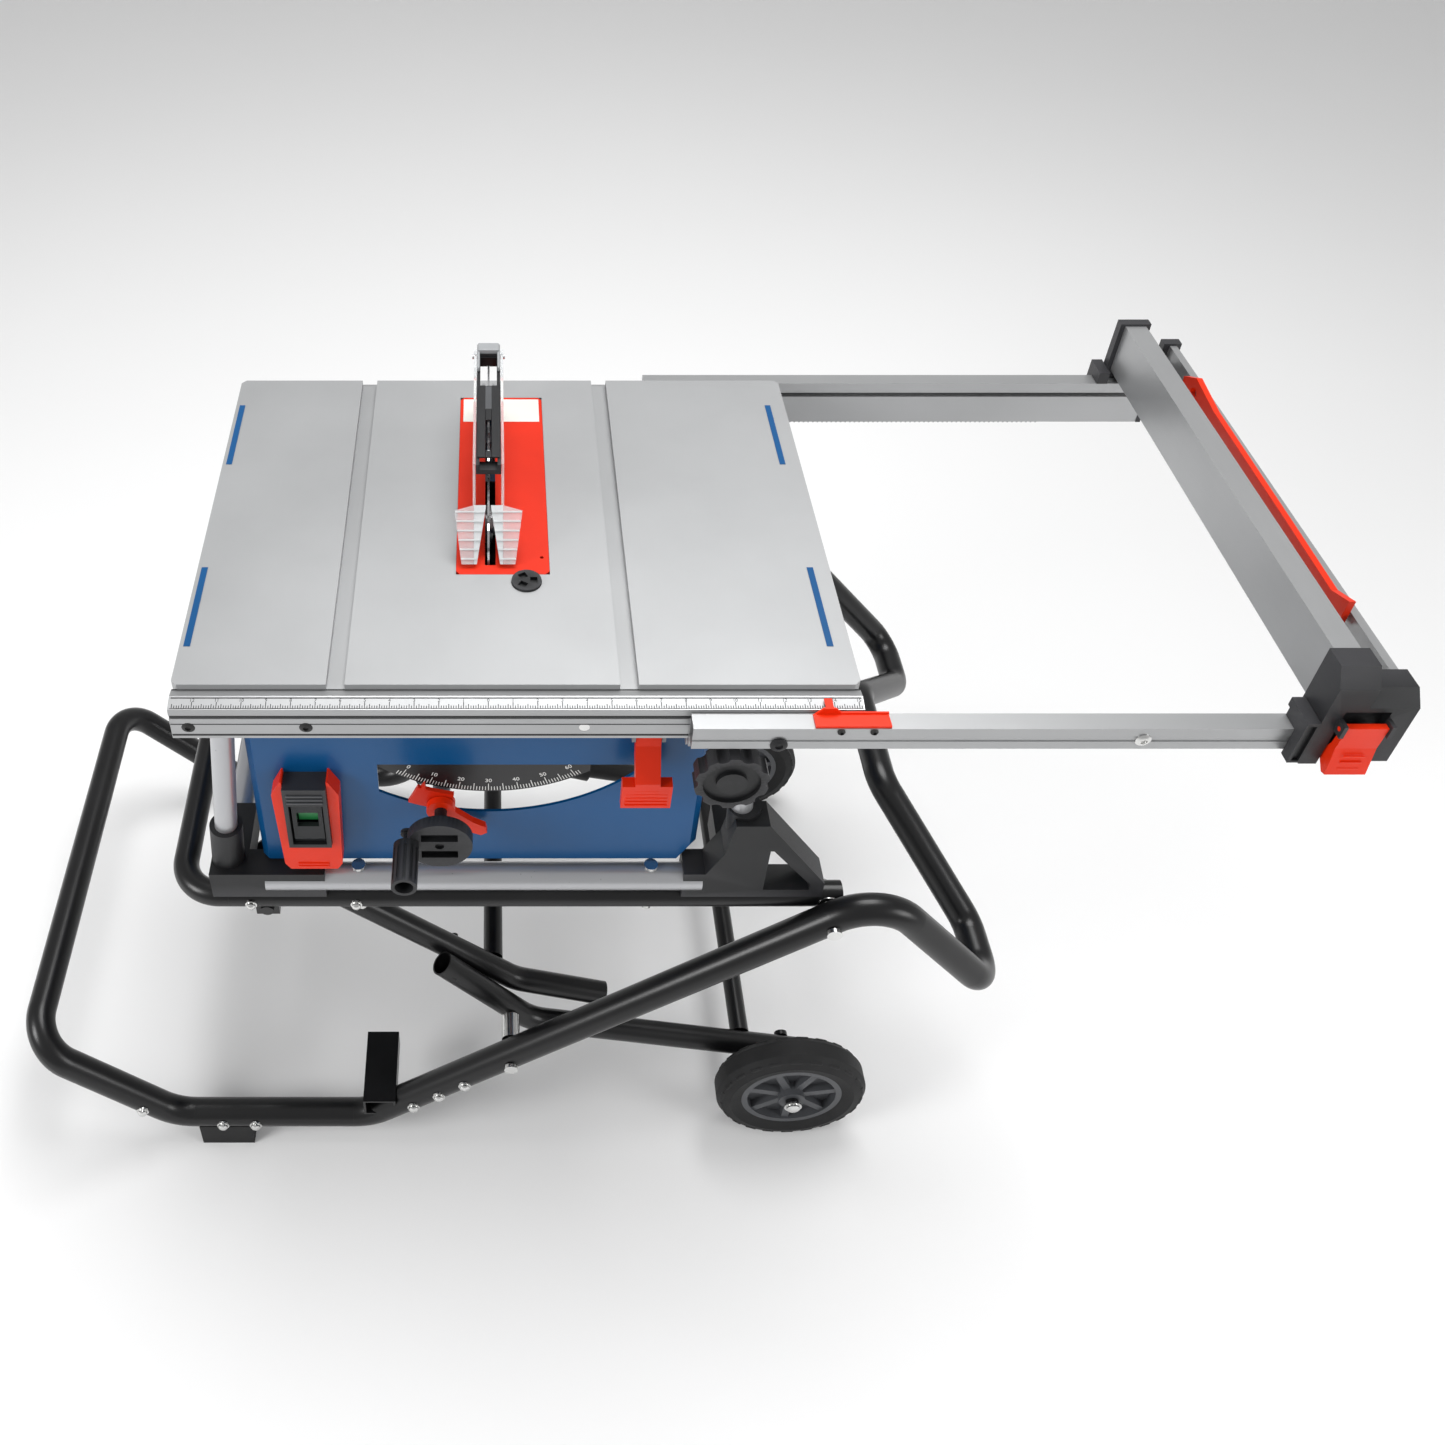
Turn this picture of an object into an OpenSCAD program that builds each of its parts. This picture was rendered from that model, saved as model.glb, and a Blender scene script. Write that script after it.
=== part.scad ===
// Portable table saw on a folding wheeled stand.
// Origin: floor level, under the middle of the whole outline. +X right, +Y back, +Z up.
// Inside the modules X = 0 is the middle of the table, Y = 0 its front edge, Z = 0 the floor.

/* [Table] */
// Height of the table face above the floor
work_h = 894; // [860:1:1080]
// Width of the table
table_w = 704; // [650:1:850]
// Depth of the table
table_d = 540; // [530:1:650]
// Thickness of the table plate
plate_t = 12; // [8:1:15]
// Height of the skirt around the table
skirt_h = 44; // [36:1:50]
// Width of a mitre slot
slot_w = 19.2; // [15.9:0.1:23]
// Depth of a mitre slot
slot_dep = 9; // [6:0.5:10]
// Thickness of the throat plate
throat_t = 4; // [3:0.5:6]

/* [Blade] */
// Blade diameter
blade_dia = 254; // [216:1:256]
// Blade plate thickness
blade_t = 2.4; // [1.8:0.1:3]
// Arbor diameter
arbor_dia = 15.875; // [15:0.005:20]
// Greatest height of the blade above the table
cut_h = 79; // [60:1:80]

/* [Housing] */
// Distance from the table face to the bottom of the housing
housing_drop = 314; // [306:1:330]
// Wall of the housing
wall = 3.5; // [2.5:0.5:5]
// Distance of the crank from the tilt axis
crank_r = 212; // [208:1:214]

/* [Saw frame] */
// Distance from the table face to the axis of the base tubes
base_drop = 338; // [336:1:350]
// Diameter of the base tubes
base_dia = 33; // [28:1:34]
// Diameter of the legs between base and table
leg_dia = 26; // [20:1:30]

/* [Rip rails] */
// Distance from blade to fence with the rails run out
rip_max = 824; // [800:1:830]
// Module of the rack and pinion
rack_m = 2; // [1.5:0.1:2]
// Teeth on each pinion
pinion_z = 18; // [15:1:18]
// Width of the fence bar
fence_w = 27; // [22:1:32]
// Height of the fence above the table
fence_h = 71; // [50:1:80]

/* [Stand] */
// Outer diameter of the side tubes
side_dia = 38; // [32:1:40]
// Outer diameter of the deck rails
deck_dia = 31; // [26:1:32]
// Outer diameter of the wheel legs and braces
strut_dia = 32; // [26:1:34]
// Tube wall
tube_wall = 2; // [1.5:0.5:3]
// Wheel diameter
wheel_dia = 203; // [170:1:210]
// Wheel width
wheel_w = 44; // [36:1:50]
// Pivot bolt diameter
pin_dia = 10; // [8:1:12]

/* [Hidden] */
$fn = 48;
GAP = 0.3;           // gap between parts that only lie near each other
RUN = 0.05;          // radial running clearance
seam = 0.02;         // between the lengths of a bent tube

mid_y = table_d / 2;              // middle plane of table and stand
bx = -28;                         // blade plane
face_z = work_h;                  // table face, also the tilt axis
under_z = work_h - plate_t;       // underside of the table plate
skirt_z = work_h - skirt_h;       // bottom of the skirt

// Stand: heights, planes and pivots. Side views are [x, z].
side_r = side_dia / 2;
deck_r = deck_dia / 2;
strut_r = strut_dia / 2;
base_r = base_dia / 2;
pin_r = pin_dia / 2;
base_z = work_h - base_drop;      // axis of the base tubes
deck_z = base_z - 22 - GAP - deck_r;
deck_half = 260;                  // distance of the deck rails from the middle plane
side_half = deck_half + deck_r + 1.5 + side_r;
strut_half = deck_half - deck_r - 0.5 - strut_r;
brace_half = strut_half - strut_dia - 1;
wheel_half = strut_half + strut_r + 18 + wheel_w / 2;
foot_z = 33 + side_r;
wheel_r = wheel_dia / 2;
fold_p = [375, deck_z + 2];       // side frame on deck
foot_c = [-191, foot_z];          // corner between foot tube and long leg
leg_ang = atan2(fold_p[1] - foot_c[1], fold_p[0] - foot_c[0]);
scis_p = foot_c + (fold_p - foot_c) * 0.34;      // side frame on wheel leg
arm_dir = [cos(131), sin(131)];
brace_p = scis_p + 115.5 * arm_dir;              // brace on wheel leg
cap_p = scis_p + 138 * arm_dir;                  // end of the wheel leg
knee_p = scis_p - 43 * arm_dir;
axle_p = [386, wheel_r];
axle_dir = (axle_p - knee_p) / norm(axle_p - knee_p);
hook_p = [-294.6, deck_z - 24];                  // brace on deck
brace_dir = (brace_p - hook_p) / norm(brace_p - hook_p);
bend_p = brace_p + 110 * brace_dir;
tail_p = bend_p + [123, -38];
rise_dir = [-0.690, 0.7238];                     // left rise of the side frame
heel_p = [-462, foot_z];
drop_dir = [0.654, -0.7565];                     // right drop of the side frame
crest_x = (fold_p[1] - 506 * deck_z / 518 - 1.1567 * 478.6 - tan(leg_ang) * fold_p[0])
    / (-1.1567 - tan(leg_ang));
crest_p = [crest_x, fold_p[1] + (crest_x - fold_p[0]) * tan(leg_ang)];
loop_join = 75;                                  // along the left rise
loop_len = 240;
handle_join = 170;                               // along the right drop
handle_len = 246;
handle_in = 88;

// Saw frame
leg_r = leg_dia / 2;
foot_xl = -331;
foot_xr = 264;
head_xl = -309;
head_xr = 240;
base_yf = 8;
base_yr = table_d - 8;
leg_yf = 20;
leg_top = skirt_z - 3 * GAP;
housing_z = work_h - housing_drop;
housing_x0 = -292;
housing_x1 = 213;
housing_y0 = 15;
housing_y1 = table_d - 16;
scale_r = 194;
window_r = crank_r + 14;
crank_a = -14.5;
crank_c = [bx + crank_r * sin(crank_a), face_z - crank_r * cos(crank_a)];

// Blade and motor
blade_r = blade_dia / 2;
arbor_r = arbor_dia / 2;
blade_y = 305;
arbor_z = face_z + cut_h - blade_r;
gear_m = 1;
gear_z = 56;
armature_z = 14;
motor_r = 45;
gear_reach = gear_m * (gear_z + armature_z) / 2;
motor_y = blade_y + 31;
motor_z = arbor_z - sqrt(gear_reach * gear_reach - 31 * 31);
post_r = 8;
post_x = bx - 58;
post_ys = [200, 440];
screw_y = 173;
screw_r = 5;
tilt_yf = 108;
tilt_yr = 495;
plate6 = 6;
tie_z = face_z - 294;
post_top = under_z - 6;
trunnion_r = 62;

// Rails and fence
pinion_r = rack_m * pinion_z / 2;
pitch_z = work_h - 74;
shaft_z = pitch_z - pinion_r;
knob_r = 39;
root_z = pitch_z + 1.25 * rack_m;
knob_x = table_w / 2 - 129;
rail_x0 = table_w / 2 - 175;
fence_x = bx + rip_max;
fence_gap = 40;
bar_t = 9;
low_bar_h = 38;                                  // height of the far bar
stick_t = 7;
stick_gap = 3;                                   // from the stick to the far bar
fence_x1 = fence_x + fence_w + fence_gap + bar_t;
rail_x1 = fence_x + 50;
fence_z0 = work_h + 3;
fence_z1 = work_h + fence_h;
rear_y = table_d + 6;

// Outline of the whole object, which sets the origin
min_x = heel_p[0] + loop_len * rise_dir[0] - side_r;
max_x = fence_x1 + 6;
min_y = -102;
max_y = mid_y + side_half + side_r + 5;
org = [-(min_x + max_x) / 2, -(min_y + max_y) / 2, 0];

// ---------- helpers ----------
function unit(v) = v / norm(v);
function side(p, y) = [p[0], y, p[1]];

module frame_at(p, ex, ey) {
    ez = cross(ex, ey);
    multmatrix([[ex[0], ey[0], ez[0], p[0]], [ex[1], ey[1], ez[1], p[1]],
        [ex[2], ey[2], ez[2], p[2]], [0, 0, 0, 1]]) children();
}
function any_normal(d) = unit(cross(d, abs(d[1]) < 0.9 ? [0, 1, 0] : [1, 0, 0]));

module rod(a, b, r) {
    d = unit(b - a);
    ex = any_normal(d);
    frame_at(a, ex, cross(d, ex)) cylinder(h = norm(b - a), r = r);
}
// Hollow tube bent the same way: straight lengths and elbows that meet end to end
module bent_tube(pts, r, rb) {
    n = len(pts);
    dirs = [for (i = [0:n - 2]) unit(pts[i + 1] - pts[i])];
    turn = [for (i = [0:n - 1]) (i == 0 || i == n - 1) ? 0 : acos(dirs[i - 1] * dirs[i])];
    cut = [for (i = [0:n - 1]) i == 0 || i == n - 1 ? 0 : rb * tan(turn[i] / 2) + seam];
    for (i = [0:n - 2]) tube(pts[i] + dirs[i] * cut[i], pts[i + 1] - dirs[i] * cut[i + 1], r);
    for (i = [1:n - 2]) {
        inward = unit(dirs[i] - dirs[i - 1]);
        c = pts[i] + inward * rb / cos(turn[i] / 2);
        start = pts[i] - dirs[i - 1] * (cut[i] - seam);
        frame_at(c, unit(start - c), dirs[i - 1])
            rotate_extrude(angle = turn[i]) translate([rb, 0]) ring2d(r, r - tube_wall);
    }
}
module ring2d(r0, r1) {
    difference() {
        circle(r = r0);
        circle(r = r1);
    }
}
module tube(a, b, r, w = tube_wall) {
    d = unit(b - a);
    ex = any_normal(d);
    frame_at(a, ex, cross(d, ex)) linear_extrude(norm(b - a)) ring2d(r, r - w);
}
// Cylinder along +Y at x, z
module bar_y(x, z, y0, y1, r) { translate([x, y0, z]) rotate([-90, 0, 0]) cylinder(h = y1 - y0, r = r); }
module bar_x(y, z, x0, x1, r) { translate([x0, y, z]) rotate([0, 90, 0]) cylinder(h = x1 - x0, r = r); }
module bar_z(x, y, z0, z1, r) { translate([x, y, z0]) cylinder(h = z1 - z0, r = r); }
module box(x0, x1, y0, y1, z0, z1) { translate([x0, y0, z0]) cube([x1 - x0, y1 - y0, z1 - z0]); }
// Side view outline [x, z] between y0 and y1
module slab_y(y0, y1) { translate([0, y1, 0]) rotate([90, 0, 0]) linear_extrude(y1 - y0) children(); }
// End view outline [y, z] between x0 and x1
module slab_x(x0, x1) {
    multmatrix([[0, 0, 1, x0], [1, 0, 0, 0], [0, 1, 0, 0], [0, 0, 0, 1]])
        linear_extrude(x1 - x0) children();
}
module chamfer_rect(w, d, c) {
    polygon([[c, 0], [w - c, 0], [w, c], [w, d - c], [w - c, d], [c, d], [0, d - c], [0, c]]);
}
module both_sides() { children(); translate([0, 2 * mid_y, 0]) mirror([0, 1, 0]) children(); }
// Part of a ring about +Y at [x, z], between angles a0 and a1 measured from straight down, + to the right
module ring_y(p, y0, y1, r0, r1, a0, a1) {
    n = 24;
    arc = function(r, from, to) [for (i = [0:n]) let (a = from + (to - from) * i / n)
        [p[0] + r * sin(a), p[1] - r * cos(a)]];
    intersection() {
        difference() {
            bar_y(p[0], p[1], y0, y1, r1);
            bar_y(p[0], p[1], y0 - 1, y1 + 1, r0);
        }
        slab_y(y0 - 2, y1 + 2) polygon(concat([[p[0], p[1]]], arc(3 * r1, a0, a1)));
    }
}
// Involute of a base circle, and a spur gear outline with backlash
function inv_pt(rb, t) = [rb * (cos(t) + t * PI / 180 * sin(t)), rb * (sin(t) - t * PI / 180 * cos(t))];
function turn2(p, a) = [p[0] * cos(a) - p[1] * sin(a), p[0] * sin(a) + p[1] * cos(a)];
function gear_tooth(m, z, back) =
    let (rp = m * z / 2, rb = rp * cos(20), ro = rp + 0.85 * m, rr = rp - 1.25 * m,
        at = function(r) r > rb ? sqrt(r * r - rb * rb) / rb * 180 / PI : 0,
        tp = at(rp), t0 = at(rr), t1 = at(ro),
        shift = 90 / z - back / rp * 90 / PI + tp - atan2(tp * PI / 180, 1),
        flank = [for (i = [0:4]) turn2(inv_pt(rb, t0 + (t1 - t0) * i / 4), -shift)],
        foot = rr < rb ? [turn2([rr, 0], -shift)] : [])
    concat(foot, flank, [for (i = [4:-1:0]) [flank[i][0], -flank[i][1]]],
        [for (q = foot) [q[0], -q[1]]]);
module gear2d(m, z, back) {
    polygon([for (k = [0:z - 1]) each [for (q = gear_tooth(m, z, back)) turn2(q, 360 * k / z)]]);
}
// Rack teeth that point down from root_z, one of them centred at x = mid
module rack2d(x0, x1, mid) {
    p = PI * rack_m;
    half = p / 4 - 0.1;
    dip = 0.85 * rack_m;
    rise = root_z + 1 - pitch_z;
    k0 = ceil((x0 - mid) / p + 0.5);
    k1 = floor((x1 - mid) / p - 0.5);
    for (k = [k0:k1]) translate([mid + k * p, pitch_z])
        polygon([[-half - rise * tan(20), rise], [-half + dip * tan(20), -dip],
            [half - dip * tan(20), -dip], [half + rise * tan(20), rise]]);
}

// ---------- table ----------
throat_x0 = bx - 36;
throat_x1 = bx + 68;
throat_y0 = 165;
throat_y1 = 501;
slot_xs = [bx - 156, bx + 144];
module table_top() {
    color("gainsboro") difference() {
        union() {
            difference() {
                translate([-table_w / 2, 0, skirt_z])
                    linear_extrude(skirt_h) chamfer_rect(table_w, table_d, 6);
                box(-table_w / 2 + 9, table_w / 2 - 9, 9, table_d - 9, skirt_z - 1, under_z);
            }
            // ledge that carries the throat plate
            box(throat_x0 - 10, throat_x1 + 10, throat_y0 - 10, throat_y1 + 10, under_z - 4, under_z + 1);
        }
        for (x = slot_xs)
            box(x - slot_w / 2, x + slot_w / 2, -1, table_d + 1, face_z - slot_dep, face_z + 1);
        box(throat_x0 - GAP, throat_x1 + GAP, throat_y0 - GAP, throat_y1 + GAP, under_z, face_z + 1);
        box(throat_x0 + 4, throat_x1 - 4, throat_y0 + 4, throat_y1 - 4, under_z - 5, under_z + 1);
        bar_z(bx + 42, throat_y0 - 12, under_z - 6, face_z + 1, 17);
        // screw seats of the fixed rails
        for (x = rail_screw_xs, y = [-1, table_d - 10]) bar_y(x, rail_mid_z, y, y + 11, 3.1);
    }
}
module throat_plate() {
    color("orangered") difference() {
        union() {
            translate([throat_x0, throat_y0, face_z - throat_t])
                linear_extrude(throat_t) chamfer_rect(throat_x1 - throat_x0, throat_y1 - throat_y0, 5);
            // feet on the ledge
            for (x = [throat_x0 + 1, throat_x1 - 5], y = [throat_y0 + 30, throat_y1 - 40])
                box(x, x + 4, y, y + 10, under_z, face_z - throat_t + 1);
        }
        bar_z(bx + 42, throat_y0 - 12, face_z - throat_t - 1, face_z + 1, 17.3);
        box(bx - 4, bx + 8, throat_y0 + 15, throat_y1 - 18, face_z - throat_t - 1, face_z + 1);
        for (y = [throat_y0 + 28, throat_y1 - 38])
            bar_z(throat_x1 - 8, y, face_z - throat_t - 1, face_z + 1, 2.2);
    }
}
module insert_knob() {
    color("dimgray") {
        difference() {
            bar_z(bx + 42, throat_y0 - 12, face_z - 5, face_z + 3, 16.5);
            for (k = [0:2]) translate([bx + 42, throat_y0 - 12, 0]) rotate(120 * k)
                box(4, 12, -4.5, 4.5, face_z - 1, face_z + 4);
        }
        bar_z(bx + 42, throat_y0 - 12, under_z - 5, face_z - 4, 6);
        difference() {
            bar_z(bx + 42, throat_y0 - 12, under_z - 7, under_z - 4.3, 23);
            box(bx + 10, bx + 80, throat_y0 - 12, throat_y0 + 20, under_z - 8, under_z - 4);
        }
    }
}
module edge_strips() {
    color("royalblue") for (x = [-table_w / 2 + 8, table_w / 2 - 22], y = [0.1, 0.67] * table_d)
        box(x - 3.5, x + 3.5, y, y + 122, face_z, face_z + 0.6);
}

// ---------- fixed rails ----------
rail_mid_z = work_h - 36;
rail_screw_xs = [-table_w / 2 + 18, -table_w / 2 + 138, 70, table_w / 2 - 18];
// Front rail section [y, z]: sloped scale seat, groove, flat face, track
module front_section() {
    polygon([[0, work_h - 8], [-10, work_h - 6], [-25, work_h - 10], [-26, work_h - 18], [-22, work_h - 19],
        [-22, work_h - 22], [-26, work_h - 23], [-26, work_h - 52], [0, work_h - 52]]);
}
module rear_section() {
    polygon([[table_d, work_h - 10], [table_d + 5, work_h - 10], [table_d + 5, work_h - 24],
        [table_d + 12, work_h - 24], [table_d + 12, work_h - 20], [table_d + 14, work_h - 20],
        [table_d + 14, work_h - 34], [table_d + 12, work_h - 34], [table_d + 12, work_h - 30],
        [table_d + 5, work_h - 30], [table_d + 5, work_h - 52], [table_d, work_h - 52]]);
}
module fixed_rails() {
    color("silver") difference() {
        slab_x(-table_w / 2, table_w / 2) front_section();
        for (x = rail_screw_xs) {
            bar_y(x, rail_mid_z, -27, 1, 3.1);
            bar_y(x, rail_mid_z, -27, -23, 5.6);
        }
    }
    color("silver") difference() {
        slab_x(-table_w / 2, table_w / 2) rear_section();
        for (x = rail_screw_xs) bar_y(x, rail_mid_z, table_d - 1, table_d + 6, 3.1);
        for (x = rail_screw_xs) bar_y(x, rail_mid_z, table_d + 2.5, table_d + 6, 5.6);
    }
}
lever_x = bx + 170;
lever_c = [8, work_h - 84];
// Brackets below the table: tilt trunnions, shaft bearings, lock lever lugs
module table_brackets() {
    color("slategray") {
        trunnion_bracket(tilt_yf - GAP - 16, tilt_yf - GAP, tilt_yf - GAP - 8);
        trunnion_bracket(tilt_yr + plate6 + GAP, tilt_yr + plate6 + GAP + 16, tilt_yr + plate6 + GAP + 8);
        for (y = [36, table_d - 46]) difference() {
            box(knob_x - 8.7, knob_x + 8.7, y, y + 10, shaft_z - 14, under_z);
            bar_y(knob_x, shaft_z, y - 1, y + 11, 6 + RUN);
        }
        for (x = [lever_x - 18, lever_x + 14]) difference() {
            box(x, x + 4, lever_c[0] - 7.5, lever_c[0] + 6, lever_c[1] - 6, skirt_z);
            bar_x(lever_c[0], lever_c[1], x - 1, x + 5, 3 + RUN);
        }
    }
}
module trunnion_bracket(y0, y1, groove) {
    toward_front = y0 < mid_y;
    difference() {
        intersection() {
            bar_y(bx, face_z, y0, y1, trunnion_r + 14);
            box(bx - 90, bx + 90, y0 - 1, y1 + 1, face_z - 90, toward_front ? under_z : under_z - 4 - GAP);
        }
        bar_y(bx, face_z, y0 - 1, y1 + 1, trunnion_r - 22);
        if (toward_front) groove_ring(groove, y1 + 1);
        else groove_ring(y0 - 1, groove);
    }
}
module groove_ring(y0, y1) {
    difference() {
        bar_y(bx, face_z, y0, y1, trunnion_r + RUN);
        bar_y(bx, face_z, y0 - 1, y1 + 1, trunnion_r - 10 - RUN);
    }
}

// ---------- housing ----------
module housing() {
    color("steelblue") difference() {
        translate([housing_x0, housing_y0, housing_z])
            linear_extrude(under_z - GAP - housing_z)
                chamfer_rect(housing_x1 - housing_x0, housing_y1 - housing_y0, 8);
        translate([housing_x0 + wall, housing_y0 + wall, housing_z - 1])
            linear_extrude(work_h)
                chamfer_rect(housing_x1 - housing_x0 - 2 * wall, housing_y1 - housing_y0 - 2 * wall, 6);
        // bevel window
        intersection() {
            bar_y(bx, face_z, housing_y0 - 1, housing_y0 + wall + 1, window_r);
            box(bx - 122, bx + 200, housing_y0 - 2, housing_y0 + wall + 2, face_z - 240, face_z - 144);
        }
        // notch at the lower right corner
        slab_y(housing_y0 - 1, housing_y0 + 40)
            polygon([[housing_x1 - 22, housing_z - 1], [housing_x1 + 1, housing_z - 1],
                [housing_x1 + 1, housing_z + 26], [housing_x1 - 8, housing_z + 26]]);
        // dust outlet and cord inlet in the rear wall
        bar_y(dust_c[0], dust_c[1], housing_y1 - wall - 1, housing_y1 + 1, 31);
        bar_x(housing_y1 - 60, housing_z + 60, housing_x0 - 1, housing_x0 + wall + 1, 9);
        // cooling slots in the left wall
        for (k = [0:5]) box(housing_x0 - 1, housing_x0 + wall + 1, 150 + 32 * k, 168 + 32 * k,
            housing_z + 130, housing_z + 138);
        // switch opening
        box(switch_x - 22, switch_x + 22, housing_y0 - 1, housing_y0 + wall + 1, switch_z - 40,
            switch_z + 40);
    }
}
dust_c = [bx + 90, housing_z + 48];
module dust_port() {
    color("dimgray") difference() {
        union() {
            bar_y(dust_c[0], dust_c[1], housing_y1, housing_y1 + 5, 38);
            bar_y(dust_c[0], dust_c[1], housing_y1 - 12, housing_y1 + 1, 30.7);
            bar_y(dust_c[0], dust_c[1], housing_y1 + 4, table_d + 14, 31.5);
        }
        bar_y(dust_c[0], dust_c[1], housing_y1 - 13, table_d + 15, 28.5);
    }
}
module cord_gland() {
    color("dimgray") difference() {
        union() {
            bar_x(housing_y1 - 60, housing_z + 60, housing_x0 - 22, housing_x0 + wall, 8.7);
            bar_x(housing_y1 - 60, housing_z + 60, housing_x0 - 4, housing_x0, 13);
        }
        bar_x(housing_y1 - 60, housing_z + 60, housing_x0 - 23, housing_x0 + wall + 1, 4.2);
    }
}
module bevel_scale() {
    color("black") difference() {
        intersection() {
            bar_y(bx, face_z, housing_y0 + wall, housing_y0 + wall + 2, scale_r);
            box(bx - 140, bx + 112, housing_y0, housing_y0 + 8, face_z - 210, face_z - 130);
        }
    }
}
// ---------- switch ----------
switch_x = housing_x0 + 63;
switch_z = housing_z + 86;
module switch_housing() {
    color("dimgray") difference() {
        union() {
            box(switch_x - 24, switch_x + 24, housing_y0 - 26, housing_y0, switch_z - 30, switch_z + 72);
            box(switch_x - 21.7, switch_x + 21.7, housing_y0, housing_y0 + 30, switch_z - 39.5,
                switch_z + 39.5);
        }
        // well behind the paddle, open to the front
        box(switch_x - 19, switch_x + 19, housing_y0 - 27, housing_y0 + 2, switch_z - 24, switch_z + 44);
        bar_x(housing_y0 - 19, switch_z + 38, switch_x - 22, switch_x + 22, 2 + RUN);
        bar_y(switch_x, switch_z + 16, housing_y0, housing_y0 + 26, 6 + RUN);
    }
}
module switch_bezel() {
    color("orangered") difference() {
        slab_y(housing_y0 - 20, housing_y0) polygon([[switch_x - 33, switch_z - 68],
            [switch_x - 27, switch_z - 78],
            [switch_x + 27, switch_z - 78], [switch_x + 33, switch_z - 68], [switch_x + 37, switch_z + 56],
            [switch_x + 26, switch_z + 78], [switch_x - 26, switch_z + 78], [switch_x - 37, switch_z + 56]]);
        box(switch_x - 24.3, switch_x + 24.3, housing_y0 - 21, housing_y0 + 1, switch_z - 30.3,
            switch_z + 79);
    }
}
module switch_paddle() {
    color("lightgray") {
        difference() {
            box(switch_x - 17, switch_x + 17, housing_y0 - 22, housing_y0 - 16, switch_z - 22, switch_z + 41);
            box(switch_x - 12, switch_x + 12, housing_y0 - 23, housing_y0 - 15, switch_z + 4, switch_z + 28);
        }
        bar_x(housing_y0 - 19, switch_z + 38, switch_x - 21, switch_x + 21, 2);
    }
}
module start_button() {
    color("green") {
        bar_y(switch_x, switch_z + 16, housing_y0 - 11, housing_y0 + 18, 6);
        box(switch_x - 11, switch_x + 11, housing_y0 - 14, housing_y0 - 9, switch_z + 6, switch_z + 26);
    }
}

// ---------- saw frame ----------
module base_tubes() {
    color("silver") difference() {
        for (y = [base_yf, base_yr])
            tube([foot_xl + 42, y, base_z], [foot_xr - 42, y, base_z], base_r);
        base_bolt_holes();
    }
    color("silver") {
        for (x = [foot_xl, foot_xr])
            tube([x, base_yf + 42, base_z], [x, base_yr - 42, base_z], base_r);
        both_sides() {
            tube([foot_xl - 3, leg_yf, base_z + 30], [head_xl, leg_yf, leg_top], leg_r);
            tube([foot_xr + 3, leg_yf, base_z + 30], [head_xr, leg_yf, leg_top], leg_r);
        }
    }
}
mould_z0 = deck_z + deck_r + GAP;
module mould_bores() {
    rod([foot_xl + 42 - GAP, base_yf, base_z], [foot_xr - 42 + GAP, base_yf, base_z], base_r + RUN);
    for (x = [foot_xl, foot_xr])
        rod([x, base_yf + 42 - GAP, base_z], [x, base_yr, base_z], base_r + RUN);
    for (s = [[foot_xl - 3, head_xl], [foot_xr + 3, head_xr]])
        rod([s[0], leg_yf, base_z + 30 - GAP], [s[1], leg_yf, leg_top], leg_r + RUN);
}
module corner_mouldings() {
    color("dimgray") both_sides() difference() {
        union() {
            // left: an L with a socket for each tube
            box(foot_xl - 22, foot_xl + 112, base_yf - 14, base_yf + 22, mould_z0, base_z + 21.5);
            box(foot_xl - 21, foot_xl + 21, base_yf - 13, base_yf + 90, mould_z0 + 1, base_z + 21);
            rod([foot_xl - 3.2, leg_yf, base_z + 12], [foot_xl + 1.9, leg_yf, base_z + 82], leg_r + 6);
            // right: a foot that rises to the leg socket
            slab_y(base_yf - 14, base_yf + 22) difference() {
                polygon([[foot_xr - 65, mould_z0], [foot_xr + 101, mould_z0], [foot_xr + 101, mould_z0 + 26],
                    [foot_xr + 24, base_z + 112], [foot_xr - 14, base_z + 112], [foot_xr - 22, base_z + 60],
                    [foot_xr - 40, base_z + 22], [foot_xr - 65, base_z + 22]]);
                polygon([[foot_xr + 30, mould_z0 + 14], [foot_xr + 84, mould_z0 + 14],
                    [foot_xr + 84, mould_z0 + 24],
                    [foot_xr + 34, base_z + 66], [foot_xr + 30, base_z + 66]]);
            }
            box(foot_xr - 21, foot_xr + 21, base_yf - 13, base_yf + 90, mould_z0 + 1, base_z + 21);
            rod([foot_xr + 3, leg_yf, base_z + 12], [foot_xr - 2.6, leg_yf, base_z + 118], leg_r + 6);
        }
        mould_bores();
    }
}
base_bolt_xs = [bx - 152, bx + 190];
module fasteners() {
    color("silver") {
        // carriage bolts that hold the base tubes on the deck rails
        both_sides() for (x = base_bolt_xs) {
            bar_z(x, base_yf + 1, deck_z - deck_r - 10, base_z + base_r + 3, 3.5);
            bar_z(x, base_yf + 1, base_z + base_r + 0.1, base_z + base_r + 5, 8);
            bar_z(x, base_yf + 1, deck_z - deck_r - 6, deck_z - deck_r - 0.1, 6.5);
        }
        // screws of the fixed rails
        for (x = rail_screw_xs) {
            bar_y(x, rail_mid_z, -25.8, -23.02, 5.5);
            bar_y(x, rail_mid_z, -24, 12, 3);
            bar_y(x, rail_mid_z, table_d + 2.6, table_d + 4.9, 5.5);
            bar_y(x, rail_mid_z, table_d - 12, table_d + 3, 3);
        }
    }
}
module base_bolt_holes() {
    both_sides() for (x = base_bolt_xs) bar_z(x, base_yf + 1, 0, base_z + 60, 3.5 + RUN);
}

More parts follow.
